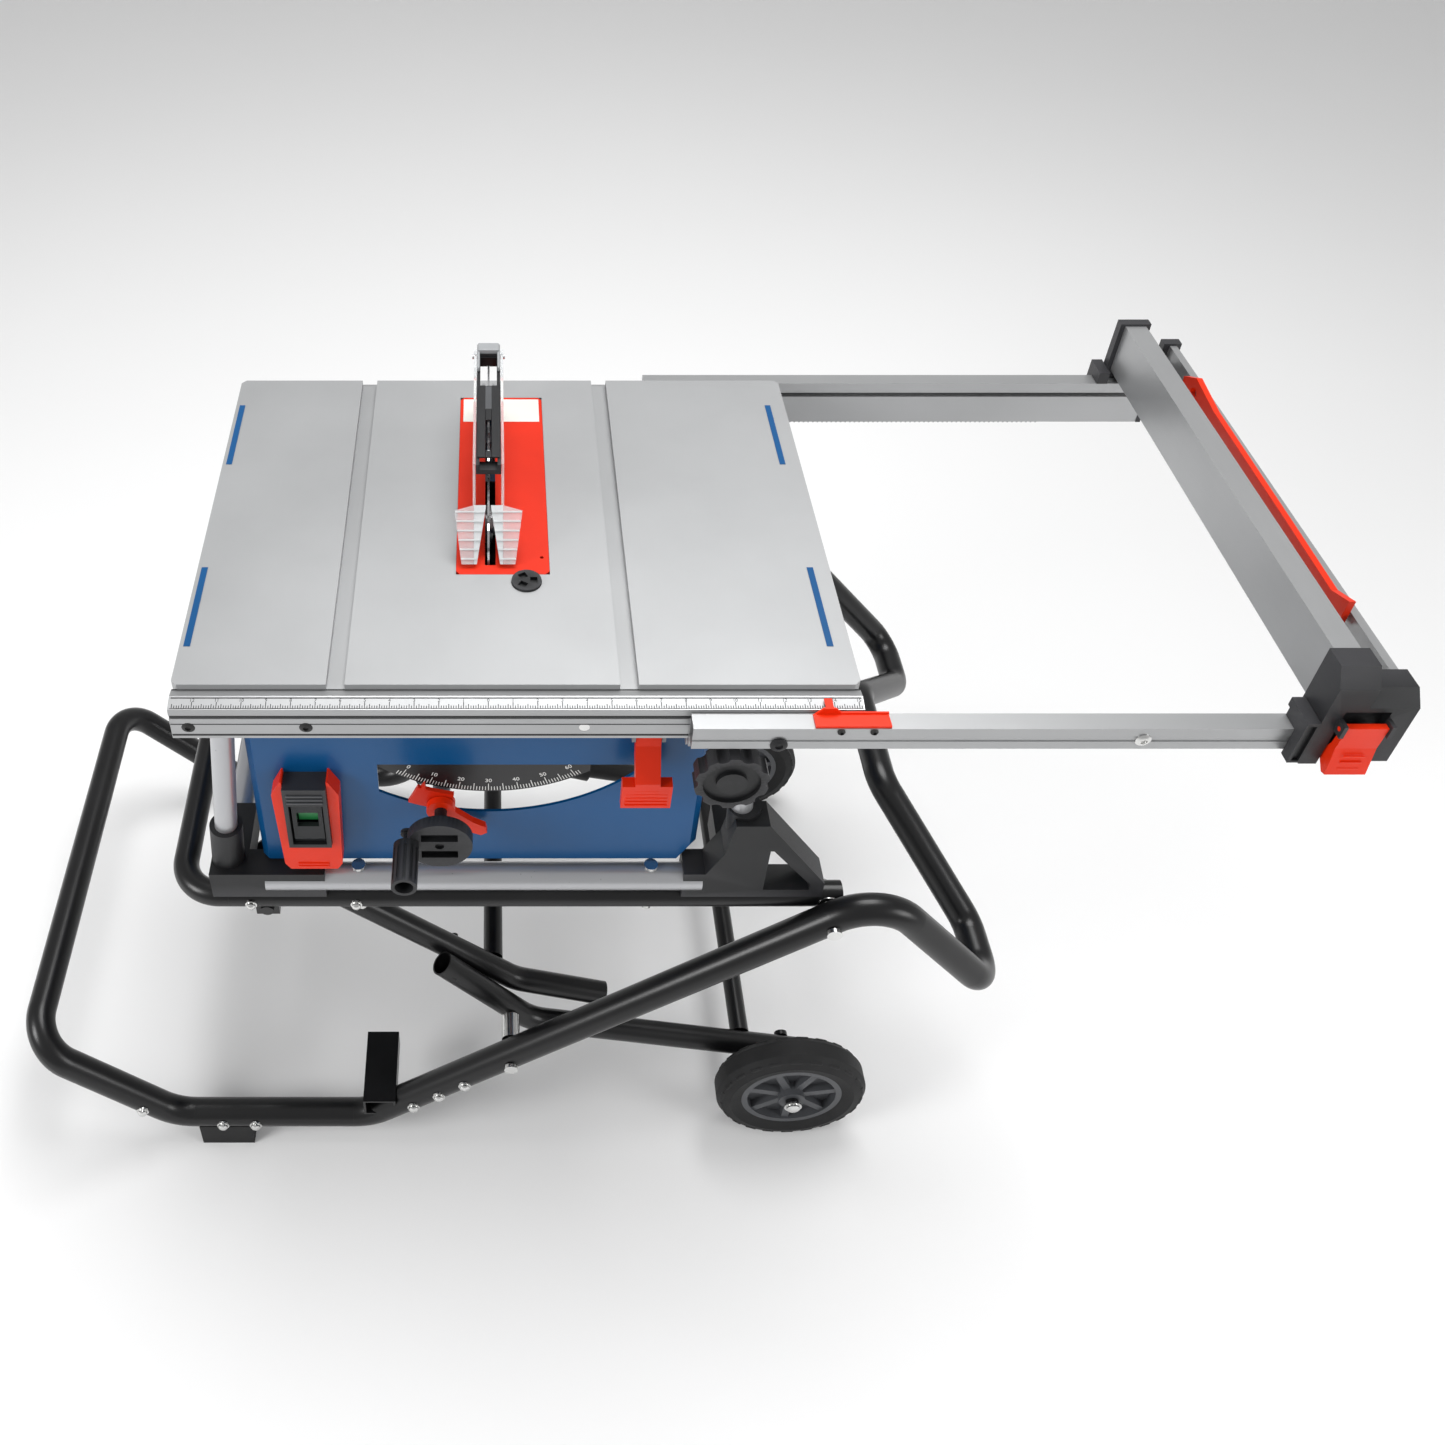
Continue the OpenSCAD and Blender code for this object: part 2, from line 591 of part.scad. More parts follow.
// ---------- deck of the stand ----------
loop_x = -397;
module deck_rails() {
    color("black") both_sides() difference() {
        union() {
            tube([loop_x + 60, mid_y - deck_half, deck_z], [fold_p[0] + 18, mid_y - deck_half, deck_z],
                deck_r);
            // lug that carries the brace bar
            box(hook_p[0] - 14, hook_p[0] + 14, mid_y - deck_half - 4, mid_y - deck_half + 4,
                hook_p[1] - 13, deck_z - deck_r + 2);
        }
        bar_y(fold_p[0], fold_p[1], -200, table_d, pin_r + RUN);
        bar_y(hook_p[0], hook_p[1], -200, table_d, hook_r + RUN);
        base_bolt_holes();
    }
}
module deck_loop() {
    color("black") {
        bent_tube([[loop_x + 60 - 0.1, mid_y - deck_half, deck_z], [loop_x, mid_y - deck_half, deck_z],
            [loop_x, mid_y + deck_half, deck_z], [loop_x + 60 - 0.1, mid_y + deck_half, deck_z]], deck_r, 48);
        // bar on which the braces turn
        bar_y(hook_p[0], hook_p[1], mid_y - deck_half - 9, mid_y + deck_half + 9, hook_r);
    }
}
module rail_lock_lever() {
    color("orangered") {
        slab_x(lever_x - 13.5, lever_x + 13.5) difference() {
            polygon([[lever_c[0] - 4, lever_c[1] + 4.4], [lever_c[0] + 4, lever_c[1] + 4.4],
                [lever_c[0] + 5, lever_c[1] - 9], [lever_c[0] - 2, lever_c[1] - 30], [-9, lever_c[1] - 44],
                [-14, lever_c[1] - 86], [-22, lever_c[1] - 88], [-24, lever_c[1] - 46],
                [lever_c[0] - 8, lever_c[1] - 12]]);
            translate([lever_c[0], lever_c[1]]) circle(r = 3 + RUN);
        }
        for (x = [lever_x - 27, lever_x + 13.4]) slab_x(x, x + 13.6) polygon([[-12, lever_c[1] - 48],
            [-14, lever_c[1] - 86], [-22, lever_c[1] - 88], [-24, lever_c[1] - 50]]);
        bar_x(lever_c[0], lever_c[1], lever_x - 19, lever_x + 19, 3);
    }
}

// ---------- tilting unit ----------
post_boss = 15;
module tilt_frame() {
    color("slategray") difference() {
        union() {
            for (y = [tilt_yf, tilt_yr]) slab_y(y, y + plate6) {
                polygon([[bx - 84, under_z - 8], [bx - 66, under_z - 8], [bx - 40, under_z - 42],
                    [bx + 2, under_z - 42], [bx + 2, tie_z], [bx - 86, tie_z], [bx - 112, tie_z + 70],
                    [bx - 84, tie_z + 130]]);
                intersection() {
                    translate([bx, face_z]) ring2d(trunnion_r + 20, trunnion_r - 22);
                    polygon([[bx, face_z], [bx - 181, face_z - 84.5], [bx, face_z - 200],
                        [bx + 35, face_z - 200]]);
                }
            }
            // tongues that run in the trunnion brackets
            ring_y([bx, face_z], tilt_yf - GAP - 7.5, tilt_yf + 1, trunnion_r - 10, trunnion_r, -62, 7);
            ring_y([bx, face_z], tilt_yr + plate6 - 1, tilt_yr + plate6 + GAP + 7.5, trunnion_r - 10,
                trunnion_r, -62, 7);
            // lower and upper ties between the plates
            box(bx - 86, bx - 12, tilt_yf, tilt_yr + plate6, tie_z, tie_z + plate6);
            box(post_x - post_boss, post_x + post_boss, tilt_yf, post_ys[0] + post_boss, post_top - 8,
                post_top);
            box(post_x - post_boss, post_x + post_boss, post_ys[1] - post_boss, tilt_yr + plate6,
                post_top - 8, post_top);
            // bearing tube of the crank
            bar_y(crank_c[0], crank_c[1], housing_y0 - 7, tilt_yf + 1, 10);
            // shoulder of the screw bearing
            bar_z(post_x, screw_y, tie_z, tie_z + 16, 11);
        }
        for (y = post_ys) bar_z(post_x, y, tie_z + 2, post_top + 1, post_r + RUN);
        bar_z(post_x, screw_y, tie_z - 1, post_top + 1, screw_r + RUN);
        bar_y(crank_c[0], crank_c[1], housing_y0 - 8, tilt_yf + plate6 + 1, 7 + RUN);
    }
}
module guide_posts() {
    color("silver") for (y = post_ys) bar_z(post_x, y, tie_z + 2, post_top, post_r);
}
module bevel_pointer() {
    a = crank_a;
    color("orangered") difference() {
        union() {
            ring_y([bx, face_z], housing_y0 - 6.5, housing_y0 - 1.5, crank_r - 20, crank_r + 8, -24, a + 3);
            bar_y(crank_c[0], crank_c[1], housing_y0 - 6.5, housing_y0 - 1.5, 16);
            slab_y(housing_y0 - 6.5, housing_y0 - 1.5) polygon([
                [bx + (crank_r - 20) * sin(-22.5) - 5, face_z - (crank_r - 20) * cos(22.5) - 6],
                [bx + (crank_r - 28) * sin(-22.5), face_z - (crank_r - 28) * cos(22.5)],
                [bx + (crank_r - 20) * sin(-22.5) + 5, face_z - (crank_r - 20) * cos(22.5) - 6]]);
        }
        bar_y(crank_c[0], crank_c[1], housing_y0 - 8, housing_y0, 10 + RUN);
    }
}
module bevel_lock_lever() {
    y1 = housing_y0 - 8;
    color("orangered") difference() {
        union() {
            bar_y(crank_c[0], crank_c[1], y1 - 8, y1, 16);
            slab_y(y1 - 8, y1) translate(crank_c) rotate(-42) polygon([[10, -10], [44, -8], [62, -2],
                [64, 6], [56, 12], [40, 9], [10, 10]]);
        }
        bar_y(crank_c[0], crank_c[1], y1 - 9, y1 + 1, 7 + RUN);
    }
}
crank_y = -34;
grip_c = crank_c + [-36, 2];
module crank_wheel() {
    color("dimgray") difference() {
        bar_y(crank_c[0], crank_c[1], crank_y - 14, crank_y, 36);
        // two hand slots
        for (s = [-1, 1]) translate([crank_c[0], 0, crank_c[1]])
            box(-20, 20, crank_y - 15, crank_y - 7, s > 0 ? 8 : -20, s > 0 ? 20 : -8);
        bar_y(crank_c[0], crank_c[1], crank_y - 15, crank_y - 11, 5);
        bar_y(grip_c[0], grip_c[1], crank_y - 15, crank_y + 1, 4 + RUN);
    }
    color("dimgray") difference() {
        bar_y(crank_c[0], crank_c[1], crank_y - 0.5, tilt_yf + plate6 + 8, 7);
        bar_y(crank_c[0], crank_c[1], crank_y - 1, crank_y, 3);
    }
}
module crank_handle() {
    color("dimgray") {
        difference() {
            bar_y(grip_c[0], grip_c[1], min_y, crank_y - 14 - GAP, 14);
            bar_y(grip_c[0], grip_c[1], min_y - 1, min_y + 30, 10);
            for (k = [0:11]) translate([grip_c[0], 0, grip_c[1]]) rotate([0, 30 * k, 0])
                box(13.2, 15, min_y + 6, crank_y - 22, -1.4, 1.4);
        }
        bar_y(grip_c[0], grip_c[1], crank_y - 15, crank_y + 4, 4);
        bar_y(grip_c[0], grip_c[1], crank_y + GAP, crank_y + 4, 7);
    }
}
module lead_screw() {
    color("silver") {
        bar_z(post_x, screw_y, tie_z, post_top - 0.5, screw_r);
        // bevel gear blank that the crank shaft drives
        bar_z(post_x, screw_y, tie_z + 16 + GAP, tie_z + 26, 13);
    }
}

// ---------- blade unit, which rises and falls on the posts ----------
case_x0 = bx - 40;
case_x1 = bx - 10;
module motor_bracket() {
    color("silver") difference() {
        union() {
            // gear case
            slab_x(case_x0, case_x1) polygon([[blade_y - 24, arbor_z + 31.3], [blade_y - 34, arbor_z + 20],
                [blade_y - 34, arbor_z - 56], [motor_y + 36, arbor_z - 56], [motor_y + 36, motor_z + 20],
                [blade_y + 30, arbor_z + 31.3]]);
            // runners on the posts, tied to the case
            for (y = post_ys) bar_z(post_x, y, arbor_z - 70, arbor_z + 10, 14);
            bar_z(post_x, screw_y, arbor_z - 70, arbor_z - 46, 11);
            box(post_x - 8, post_x + 8, screw_y, blade_y - 40, arbor_z - 68, arbor_z - 48);
            box(post_x - 6, case_x0 + 2, post_ys[0] - 5, blade_y - 30, arbor_z - 60, arbor_z - 34);
            box(post_x - 6, case_x0 + 2, motor_y + 20, post_ys[1] + 5, arbor_z - 56, arbor_z - 30);
            box(post_x - 6, case_x0 + 1, post_ys[0], post_ys[1], arbor_z - 62, arbor_z - 54);
        }
        // cavity for the gears
        slab_x(case_x0 + 4, case_x1 - 4) {
            translate([blade_y, arbor_z]) circle(r = gear_m * gear_z / 2 + 1.9);
            translate([motor_y, motor_z]) circle(r = gear_m * armature_z / 2 + 3);
        }
        for (y = post_ys) bar_z(post_x, y, arbor_z - 71, arbor_z + 11, post_r + RUN);
        bar_z(post_x, screw_y, arbor_z - 71, arbor_z - 30, screw_r + RUN);
        bar_x(blade_y, arbor_z, case_x0 - 1, case_x1 + 1, arbor_r + RUN);
        bar_x(motor_y, motor_z, case_x0 - 1, case_x1 - 2, 5 + RUN);
    }
}
motor_x0 = bx - 232;
motor_x1 = case_x0;
module motor_housing() {
    color("dimgray") difference() {
        bar_x(motor_y, motor_z, motor_x0, motor_x1, motor_r);
        bar_x(motor_y, motor_z, motor_x0 + 4, motor_x1 + 1, motor_r - 4);
        bar_x(motor_y, motor_z, motor_x0 - 1, motor_x0 + 5, 5 + RUN);
        for (k = [0:7]) translate([0, motor_y, motor_z]) rotate([45 * k + 22.5, 0, 0])
            box(motor_x0 - 1, motor_x0 + 5, 16, 32, -3, 3);
        for (y = post_ys) bar_z(post_x, y, 0, face_z, 14.4);
        box(post_x - 6.3, motor_x1 + 1, 0, table_d, arbor_z - 62.3, arbor_z - 29.7);
    }
}
module stator() {
    color("peru") difference() {
        bar_x(motor_y, motor_z, motor_x0 + 60, motor_x0 + 130, motor_r - 4 - 0.1);
        bar_x(motor_y, motor_z, motor_x0 + 59, motor_x0 + 131, 24);
    }
}
module armature() {
    color("silver") {
        bar_x(motor_y, motor_z, motor_x0 + 1, case_x1 - 3, 5);
        bar_x(motor_y, motor_z, motor_x0 + 60, motor_x0 + 130, 23);
        bar_x(motor_y, motor_z, motor_x0 + 30, motor_x0 + 50, 14);
        difference() {
            bar_x(motor_y, motor_z, motor_x0 + 142, motor_x0 + 156, 34);
            for (k = [0:9]) translate([0, motor_y, motor_z]) rotate([36 * k, 0, 0])
                box(motor_x0 + 141, motor_x0 + 153, 14, 36, -5, 5);
        }
        translate([0, motor_y, motor_z]) rotate([atan2(motor_z - arbor_z, motor_y - blade_y)
            + 180 + 180 / armature_z, 0, 0])
            slab_x(case_x0 + 5, case_x0 + 20) gear2d(gear_m, armature_z, 0.15);
    }
}
module arbor() {
    color("silver") {
        bar_x(blade_y, arbor_z, case_x0 + 1, bx + 16, arbor_r);
        translate([0, blade_y, arbor_z]) rotate([atan2(motor_z - arbor_z, motor_y - blade_y), 0, 0])
            slab_x(case_x0 + 6, case_x0 + 19) gear2d(gear_m, gear_z, 0.15);
        // inner flange, outer flange and nut
        bar_x(blade_y, arbor_z, bx - 8, bx - blade_t / 2, 22);
        difference() {
            bar_x(blade_y, arbor_z, bx + blade_t / 2, bx + 5, 22);
            bar_x(blade_y, arbor_z, bx, bx + 6, arbor_r - 0.5);
        }
        difference() {
            translate([bx + 5, blade_y, arbor_z]) rotate([0, 90, 0]) cylinder(h = 8, r = 13.5, $fn = 6);
            bar_x(blade_y, arbor_z, bx + 4, bx + 14, arbor_r - 0.5);
        }
    }
}
blade_teeth = 24;
module blade() {
    color("silver") slab_x(bx - blade_t / 2, bx + blade_t / 2) translate([blade_y, arbor_z]) difference() {
        circle(r = blade_r, $fn = 96);
        for (k = [0:blade_teeth - 1]) rotate(360 * k / blade_teeth)
            polygon([[blade_r + 2, -1.2], [blade_r - 13, 1], [blade_r - 13, 5], [blade_r - 5, 8],
                [blade_r + 2, 22]]);
        circle(r = arbor_r + RUN);
    }
}
module dust_shroud() {
    color("dimgray") difference() {
        intersection() {
            bar_x(blade_y, arbor_z, bx - 9.5, bx + 20, blade_r + 9);
            box(bx - 60, bx + 60, 0, table_d, 0, arbor_z - 38);
            box(bx - 60, bx + 60, blade_y - 118, table_d, 0, face_z);
        }
        bar_x(blade_y, arbor_z, bx - 7.5, bx + 17.8, blade_r + 6);
    }
}
knife_r = blade_r + 6;
module riving_knife() {
    color("silver") slab_x(bx - 1.15, bx + 1.15) difference() {
        union() {
            intersection() {
                translate([blade_y, arbor_z]) circle(r = knife_r + 72);
                polygon([[blade_y + 90, arbor_z - 30], [blade_y + 172, arbor_z - 30],
                    [blade_y + 172, face_z + 45],
                    [blade_y + 160, face_z + 92], [blade_y + 90, face_z + 92]]);
            }
            translate([blade_y + 120, arbor_z - 30]) square([50, 80]);
        }
        translate([blade_y, arbor_z]) circle(r = knife_r);
        translate([blade_y - 10, face_z + 82.5]) square([200, 40]);
    }
    // clamp block that holds the knife to the unit
    color("silver") difference() {
        box(bx - 9, bx + 9, blade_y + 136, blade_y + 172, arbor_z - 29, arbor_z - 5);
        box(bx - 1.2, bx + 1.2, blade_y + 130, blade_y + 180, arbor_z - 30, arbor_z);
    }
    color("silver") box(post_x - 4, bx - 9.02, post_ys[1] + 14.05, blade_y + 168,
        arbor_z - 28, arbor_z - 8);
}

// ---------- blade guard ----------
guard_y = 460;
guard_z = face_z + 91;
pawl_p = [guard_y - 60, guard_z - 5];
module guard_arm() {
    color("gray") difference() {
        union() {
            box(bx - 14, bx + 14, guard_y - 6, guard_y + 14, guard_z - 10, guard_z + 8);
            box(bx - 14, bx + 14, guard_y - 220, guard_y - 5, guard_z - 9, guard_z + 4);
        }
        // channel for knife and blade
        box(bx - 1.6, bx + 1.6, guard_y - 200, guard_y + 20, guard_z - 30, guard_z - 8);
        box(bx - 10, bx + 10, guard_y - 205, guard_y - 12, guard_z - 10, guard_z - 2);
        box(bx - 10, bx + 10, guard_y - 225, guard_y - 130, guard_z - 3, guard_z + 5);
        bar_x(guard_y, guard_z, bx - 20, bx + 20, 3 + RUN);
        // pocket for the pawls
        box(bx - 10, bx + 10, guard_y - 68, guard_y - 8, guard_z - 19, guard_z + 9);
        bar_x(pawl_p[0], pawl_p[1], bx - 12.5, bx + 12.5, 2 + RUN);
    }
}
module guard_pin() { color("silver") bar_x(guard_y, guard_z, bx - 20, bx + 20, 3); }
// Clear side barrier with a ribbed front flap; s = -1 left, 1 right
module guard_side(s) {
    x0 = s < 0 ? bx - 17.5 : bx + 14.5;
    slab_x(x0, x0 + 3) difference() {
        polygon([[guard_y + 12, guard_z + 2], [guard_y + 2, guard_z + 9], [guard_y - 215, guard_z + 2],
            [guard_y - 236, guard_z - 40], [guard_y - 282, guard_z - 88], [guard_y - 230, guard_z - 88],
            [guard_y - 20, guard_z - 9], [guard_y + 4, guard_z - 5]]);
        translate([guard_y, guard_z]) circle(r = 3 + RUN);
    }
    // sloped flap, narrower at its foot
    frame_at([bx, guard_y - 282, guard_z - 88], [1, 0, 0], unit([0, 50, 52]))
        linear_extrude(3) polygon([[s * 16, 0], [s * 16, 66], [s * 38, 60], [s * 30, 0]]);
}
module guard_left() { color("lightblue") guard_side(-1); }
module guard_right() {
    color("lightblue") guard_side(1);
}
module kickback_pawls() {
    color("silver") {
        for (x = [bx - 8, bx + 4]) slab_x(x, x + 4) translate(pawl_p) difference() {
            polygon([[-4, 4], [4, 4], [6, -20], [18, -37], [10, -39], [4, -37], [0, -22]]);
            circle(r = 2);
        }
        bar_x(pawl_p[0], pawl_p[1], bx - 12, bx + 12, 2);
    }
}

// ---------- extending rails and fence ----------
rack_x0 = rail_x0 + 8;
rack_x1 = rail_x0 + 543;
module slide_rails() {
    color("silver") {
        difference() {
            slab_x(rail_x0, rail_x1) polygon([[-47, work_h - 14], [-26.3, work_h - 14], [-26.3, work_h - 53],
                [-6, work_h - 53], [-6, root_z], [-18, root_z], [-18, work_h - 59], [-31, work_h - 59],
                [-31, work_h - 44], [-47, work_h - 44]]);
            // hollow of the box section and the groove in its face
            box(rail_x0 - 1, rail_x1 + 1, -44.5, -29, work_h - 41.5, work_h - 16.5);
            box(rail_x0 - 1, rail_x1 + 1, -48, -46, work_h - 33, work_h - 25);
        }
        difference() {
            slab_x(rail_x0, rail_x1) polygon([[rear_y, root_z], [rear_y + 20, root_z],
                [rear_y + 20, work_h - 9], [rear_y, work_h - 9]]);
            // slot round the fixed rear rail
            box(rail_x0 - 1, rail_x1 + 1, rear_y - 1, table_d + 12, work_h - 30.3, work_h - 23.7);
            box(rail_x0 - 1, rail_x1 + 1, table_d + 11.7, table_d + 14.3, work_h - 34.3, work_h - 19.7);
            box(rail_x0 - 1, rail_x1 + 1, rear_y + 4, rear_y + 16, root_z + 8, work_h - 39);
        }
        slab_y(-18, -6) rack2d(rack_x0, rack_x1, knob_x);
        slab_y(rear_y + 4, rear_y + 18) rack2d(rack_x0, rack_x1, knob_x);
    }
}
module rail_ends() {
    color("dimgray") {
        // caps of both rails
        slab_x(rail_x1, rail_x1 + 6) polygon([[-49, work_h - 12], [-26.3, work_h - 12], [-26.3, work_h - 53],
            [-6, work_h - 53], [-6, root_z], [-18, root_z - 6], [-32, work_h - 61], [-32, work_h - 46],
            [-49, work_h - 46]]);
        box(rail_x1, rail_x1 + 6, rear_y - 1, rear_y + 21, root_z, work_h - 8);
        // front saddle of the fence with its ribs
        difference() {
            box(fence_x - 20, fence_x - 6.5, -60, -24, work_h - 50, work_h + 8);
            box(fence_x - 21, fence_x - 6, -47.3, -23, work_h - 51, work_h - 13.7);
            box(fence_x - 21, fence_x - 6, -28, -23, work_h - 51, work_h - 3);
            box(fence_x - 17, fence_x - 9.5, -61, -57, work_h - 47, work_h + 4);
        }
        // rear saddle
        difference() {
            box(fence_x - 20, fence_x - 6.5, rear_y - 1, rear_y + 32, work_h - 40, work_h + 8);
            box(fence_x - 21, fence_x - 6, rear_y - 2, rear_y + 20.3, work_h - 41, work_h - 8.7);
        }
    }
}
module fence_bars() {
    color("silver") {
        difference() {
            box(fence_x, fence_x + fence_w, -20, table_d + 20, fence_z0, fence_z1);
            box(fence_x + 2.5, fence_x + fence_w - 2.5, -21, table_d + 21, fence_z0 + 2.5, fence_z1 - 2.5);
        }
        box(fence_x1 - bar_t, fence_x1, -20, table_d + 20, fence_z0, fence_z0 + low_bar_h);
    }
}
module fence_ends() {
    color("dimgray") {
        // front: a block that hangs over the rail and holds both bars
        difference() {
            union() {
                slab_x(fence_x - 6, fence_x + fence_w + 6) polygon([[-58, work_h - 54], [-47.3, work_h - 54],
                    [-47.3, work_h - 13.7], [-28, work_h - 13.7], [-28, work_h - 3], [-20.1, work_h - 3],
                    [-20.1, fence_z1 + 3], [-44, fence_z1 + 3],
                    [-58, fence_z1 - 16]]);
                slab_x(fence_x + fence_w + 5.9, fence_x1 + 6) polygon([[-58, work_h - 50],
                    [-47.3, work_h - 50],
                    [-47.3, work_h - 13.7], [-28, work_h - 13.7], [-28, work_h - 3], [-20.1, work_h - 3],
                    [-20.1, fence_z0 + 41], [-44, fence_z0 + 41],
                    [-58, fence_z0 + 26]]);
            }
            box(fence_x + 12, fence_x + 57, -59, -50, work_h - 57, fence_z0 + 20);
            // cut clear of the rail cap
            box(rail_x1 - GAP, rail_x1 + 6 + GAP, -50, -20, work_h - 60, work_h - 11.5);
        }
        for (x = [fence_x + 9, fence_x + 56]) difference() {
            box(x, x + 4, -70, -57.9, work_h - 2, work_h + 14);
            bar_x(-64, work_h + 6, x - 1, x + 5, 2.5 + RUN);
        }
        // rear block
        difference() {
            box(fence_x - 6, fence_x1 + 6, table_d + 20.1, table_d + 32, fence_z0 - 8, fence_z0 + 41);
            box(fence_x + fence_w + 8, fence_x1 - bar_t - 8, table_d + 19, table_d + 33, fence_z0 + 4,
                fence_z0 + 42);
        }
        box(fence_x - 6, fence_x + fence_w + 6, table_d + 20.1, table_d + 32, fence_z0 + 40, fence_z1 + 3);
        box(fence_x - 6, fence_x + fence_w + 6, rear_y + 14, rear_y + 26, work_h - 8.7, fence_z0 - 0.1);
    }
}
module push_stick() {
    x1 = fence_x1 - bar_t - stick_gap;
    z = fence_z0 + 14;
    color("orangered") slab_x(x1 - stick_t, x1) difference() {
        polygon([[60, z + 10], [200, z + 14], [420, z + 14], [450, z + 2], [482, z + 4], [488, z + 26],
            [460, z + 42], [400, z + 34], [200, z + 32], [90, z + 30], [60, z + 42]]);
        translate([455, z + 22]) circle(r = 8);
    }
    // clips on the far bar
    color("orangered") for (y = [140, 380])
        box(x1 - 0.1, x1 + stick_gap - 0.1, y, y + 8, z + 16, fence_z0 + low_bar_h - 1);
}
module fence_latch() {
    color("orangered") {
        slab_x(fence_x + 14, fence_x + 55) polygon([[-68, work_h + 10], [-61, work_h + 10],
            [-59, work_h - 20],
            [-51, work_h - 40], [-53, work_h - 44], [-66, work_h - 56], [-72, work_h - 54],
                [-67, work_h - 20]]);
        bar_x(-64, work_h + 6, fence_x + 9, fence_x + 60, 2.5);
    }
}
module rail_pointer() {
    color("orangered") {
        box(knob_x + 76, knob_x + 152, -46, -30, work_h - 13.9, work_h - 11);
        slab_y(-30.1, -28) polygon([[knob_x + 76, work_h - 13.9], [knob_x + 152, work_h - 13.9],
            [knob_x + 152, work_h - 9], [knob_x + 104, work_h - 9], [knob_x + 98, work_h - 3],
                [knob_x + 86, work_h - 3]]);
        box(knob_x + 88, knob_x + 96, -28.1, -16, work_h - 5, work_h - 3);
    }
}
module pinion_shaft() {
    color("silver") {
        difference() {
            bar_y(knob_x, shaft_z, -50, rear_y + 20, 6);
            bar_y(knob_x, shaft_z, -19, -5, 5);
            bar_y(knob_x, shaft_z, rear_y + 3, rear_y + 19, 5);
        }
        slab_y(-18, -6) translate([knob_x, shaft_z]) rotate(90 + 180 / pinion_z)
            gear2d(rack_m, pinion_z, 0.15);
        slab_y(rear_y + 4, rear_y + 18) translate([knob_x, shaft_z]) rotate(90 + 180 / pinion_z)
            gear2d(rack_m, pinion_z, 0.15);
    }
}
module adjust_knob() {
    color("dimgray") difference() {
        union() {
            bar_y(knob_x, shaft_z, -54, -33, knob_r);
            bar_y(knob_x, shaft_z, -33.1, -24, 14);
        }
        // scallops of the grip, shaft bore and recessed face
        for (k = [0:9]) translate([knob_x, 0, shaft_z]) rotate([0, 36 * k, 0])
            bar_y(knob_r + 4, 0, -55, -32, 8);
        bar_y(knob_x, shaft_z, -51, -20, 6 + RUN);
        difference() {
            bar_y(knob_x, shaft_z, -55, -50, knob_r - 9);
            bar_y(knob_x, shaft_z, -56, -49, 16);
        }
    }
}

// ---------- stand ----------
hook_r = 8;
step_x = foot_c[0] + 14;
module side_bores(r = pin_r + RUN) {
    for (p = [scis_p, fold_p]) bar_y(p[0], p[1], -60, table_d + 60, r);
}
module side_tubes() {
    y = mid_y - side_half;
    color("dimgray") both_sides() difference() {
        union() {
            bent_tube([side(heel_p + loop_join * rise_dir, y), side(heel_p, y), side(foot_c, y),
                side(crest_p, y), side(crest_p + handle_join * drop_dir, y)], side_r, 65);
        }
        side_bores();
    }
    // step at the foot of the front frame
    color("dimgray") difference() {
        box(step_x - 22, step_x + 22, y - 14, y + 88, foot_z + 21, foot_z + 56);
        box(step_x - 19, step_x + 19, y - 15, y + 85, foot_z + 24, foot_z + 53);
        rod(side(foot_c - 20 * unit(fold_p - foot_c), y), side(scis_p, y), side_r - tube_wall / 2);
    }
}
module left_loop() {
    a = heel_p + loop_join * rise_dir;
    b = heel_p + loop_len * rise_dir;
    color("dimgray") bent_tube([side(a, mid_y - side_half), side(b, mid_y - side_half),
        side(b, mid_y + side_half), side(a, mid_y + side_half)], side_r, 55);
}
module right_loop() {
    p = function(t, y) side(crest_p + t * drop_dir, mid_y + y);
    dip = handle_len - handle_in - 70;
    color("dimgray") bent_tube([p(handle_join, -side_half), p(handle_len, -side_half), p(handle_len,
        88 - side_half),
        p(dip, -75), p(dip, 75), p(handle_len, side_half - 88), p(handle_len, side_half),
        p(handle_join, side_half)], side_r, 38);
}
module foot_pads() {
    y = mid_y - side_half;
    color("dimgray") both_sides() difference() {
        box(heel_p[0] + 33, heel_p[0] + 105, y - 19, y + 19, 0, foot_z - 6);
        bar_x(y, foot_z, heel_p[0], heel_p[0] + 200, side_r + RUN);
    }
}
module stand_bolts() {
    y0 = mid_y - side_half - side_r;
    color("silver") both_sides() {
        bar_y(fold_p[0], fold_p[1], y0 - 1, mid_y - deck_half + deck_r, pin_r);
        bar_y(fold_p[0], fold_p[1], y0 - 5, y0 - 0.1, 9);
        bar_y(scis_p[0], scis_p[1], y0 - 1, mid_y - strut_half + strut_r, pin_r);
        bar_y(scis_p[0], scis_p[1], y0 - 5, y0 - 0.1, 9);
        difference() {
            union() {
                bar_y(fold_p[0], fold_p[1], y0 + side_dia + 0.1, mid_y - deck_half - deck_r - 0.1, 12);
                bar_y(scis_p[0], scis_p[1], y0 + side_dia + 0.1, mid_y - strut_half - strut_r - GAP, 12);
            }
            side_bores();
        }
    }
}
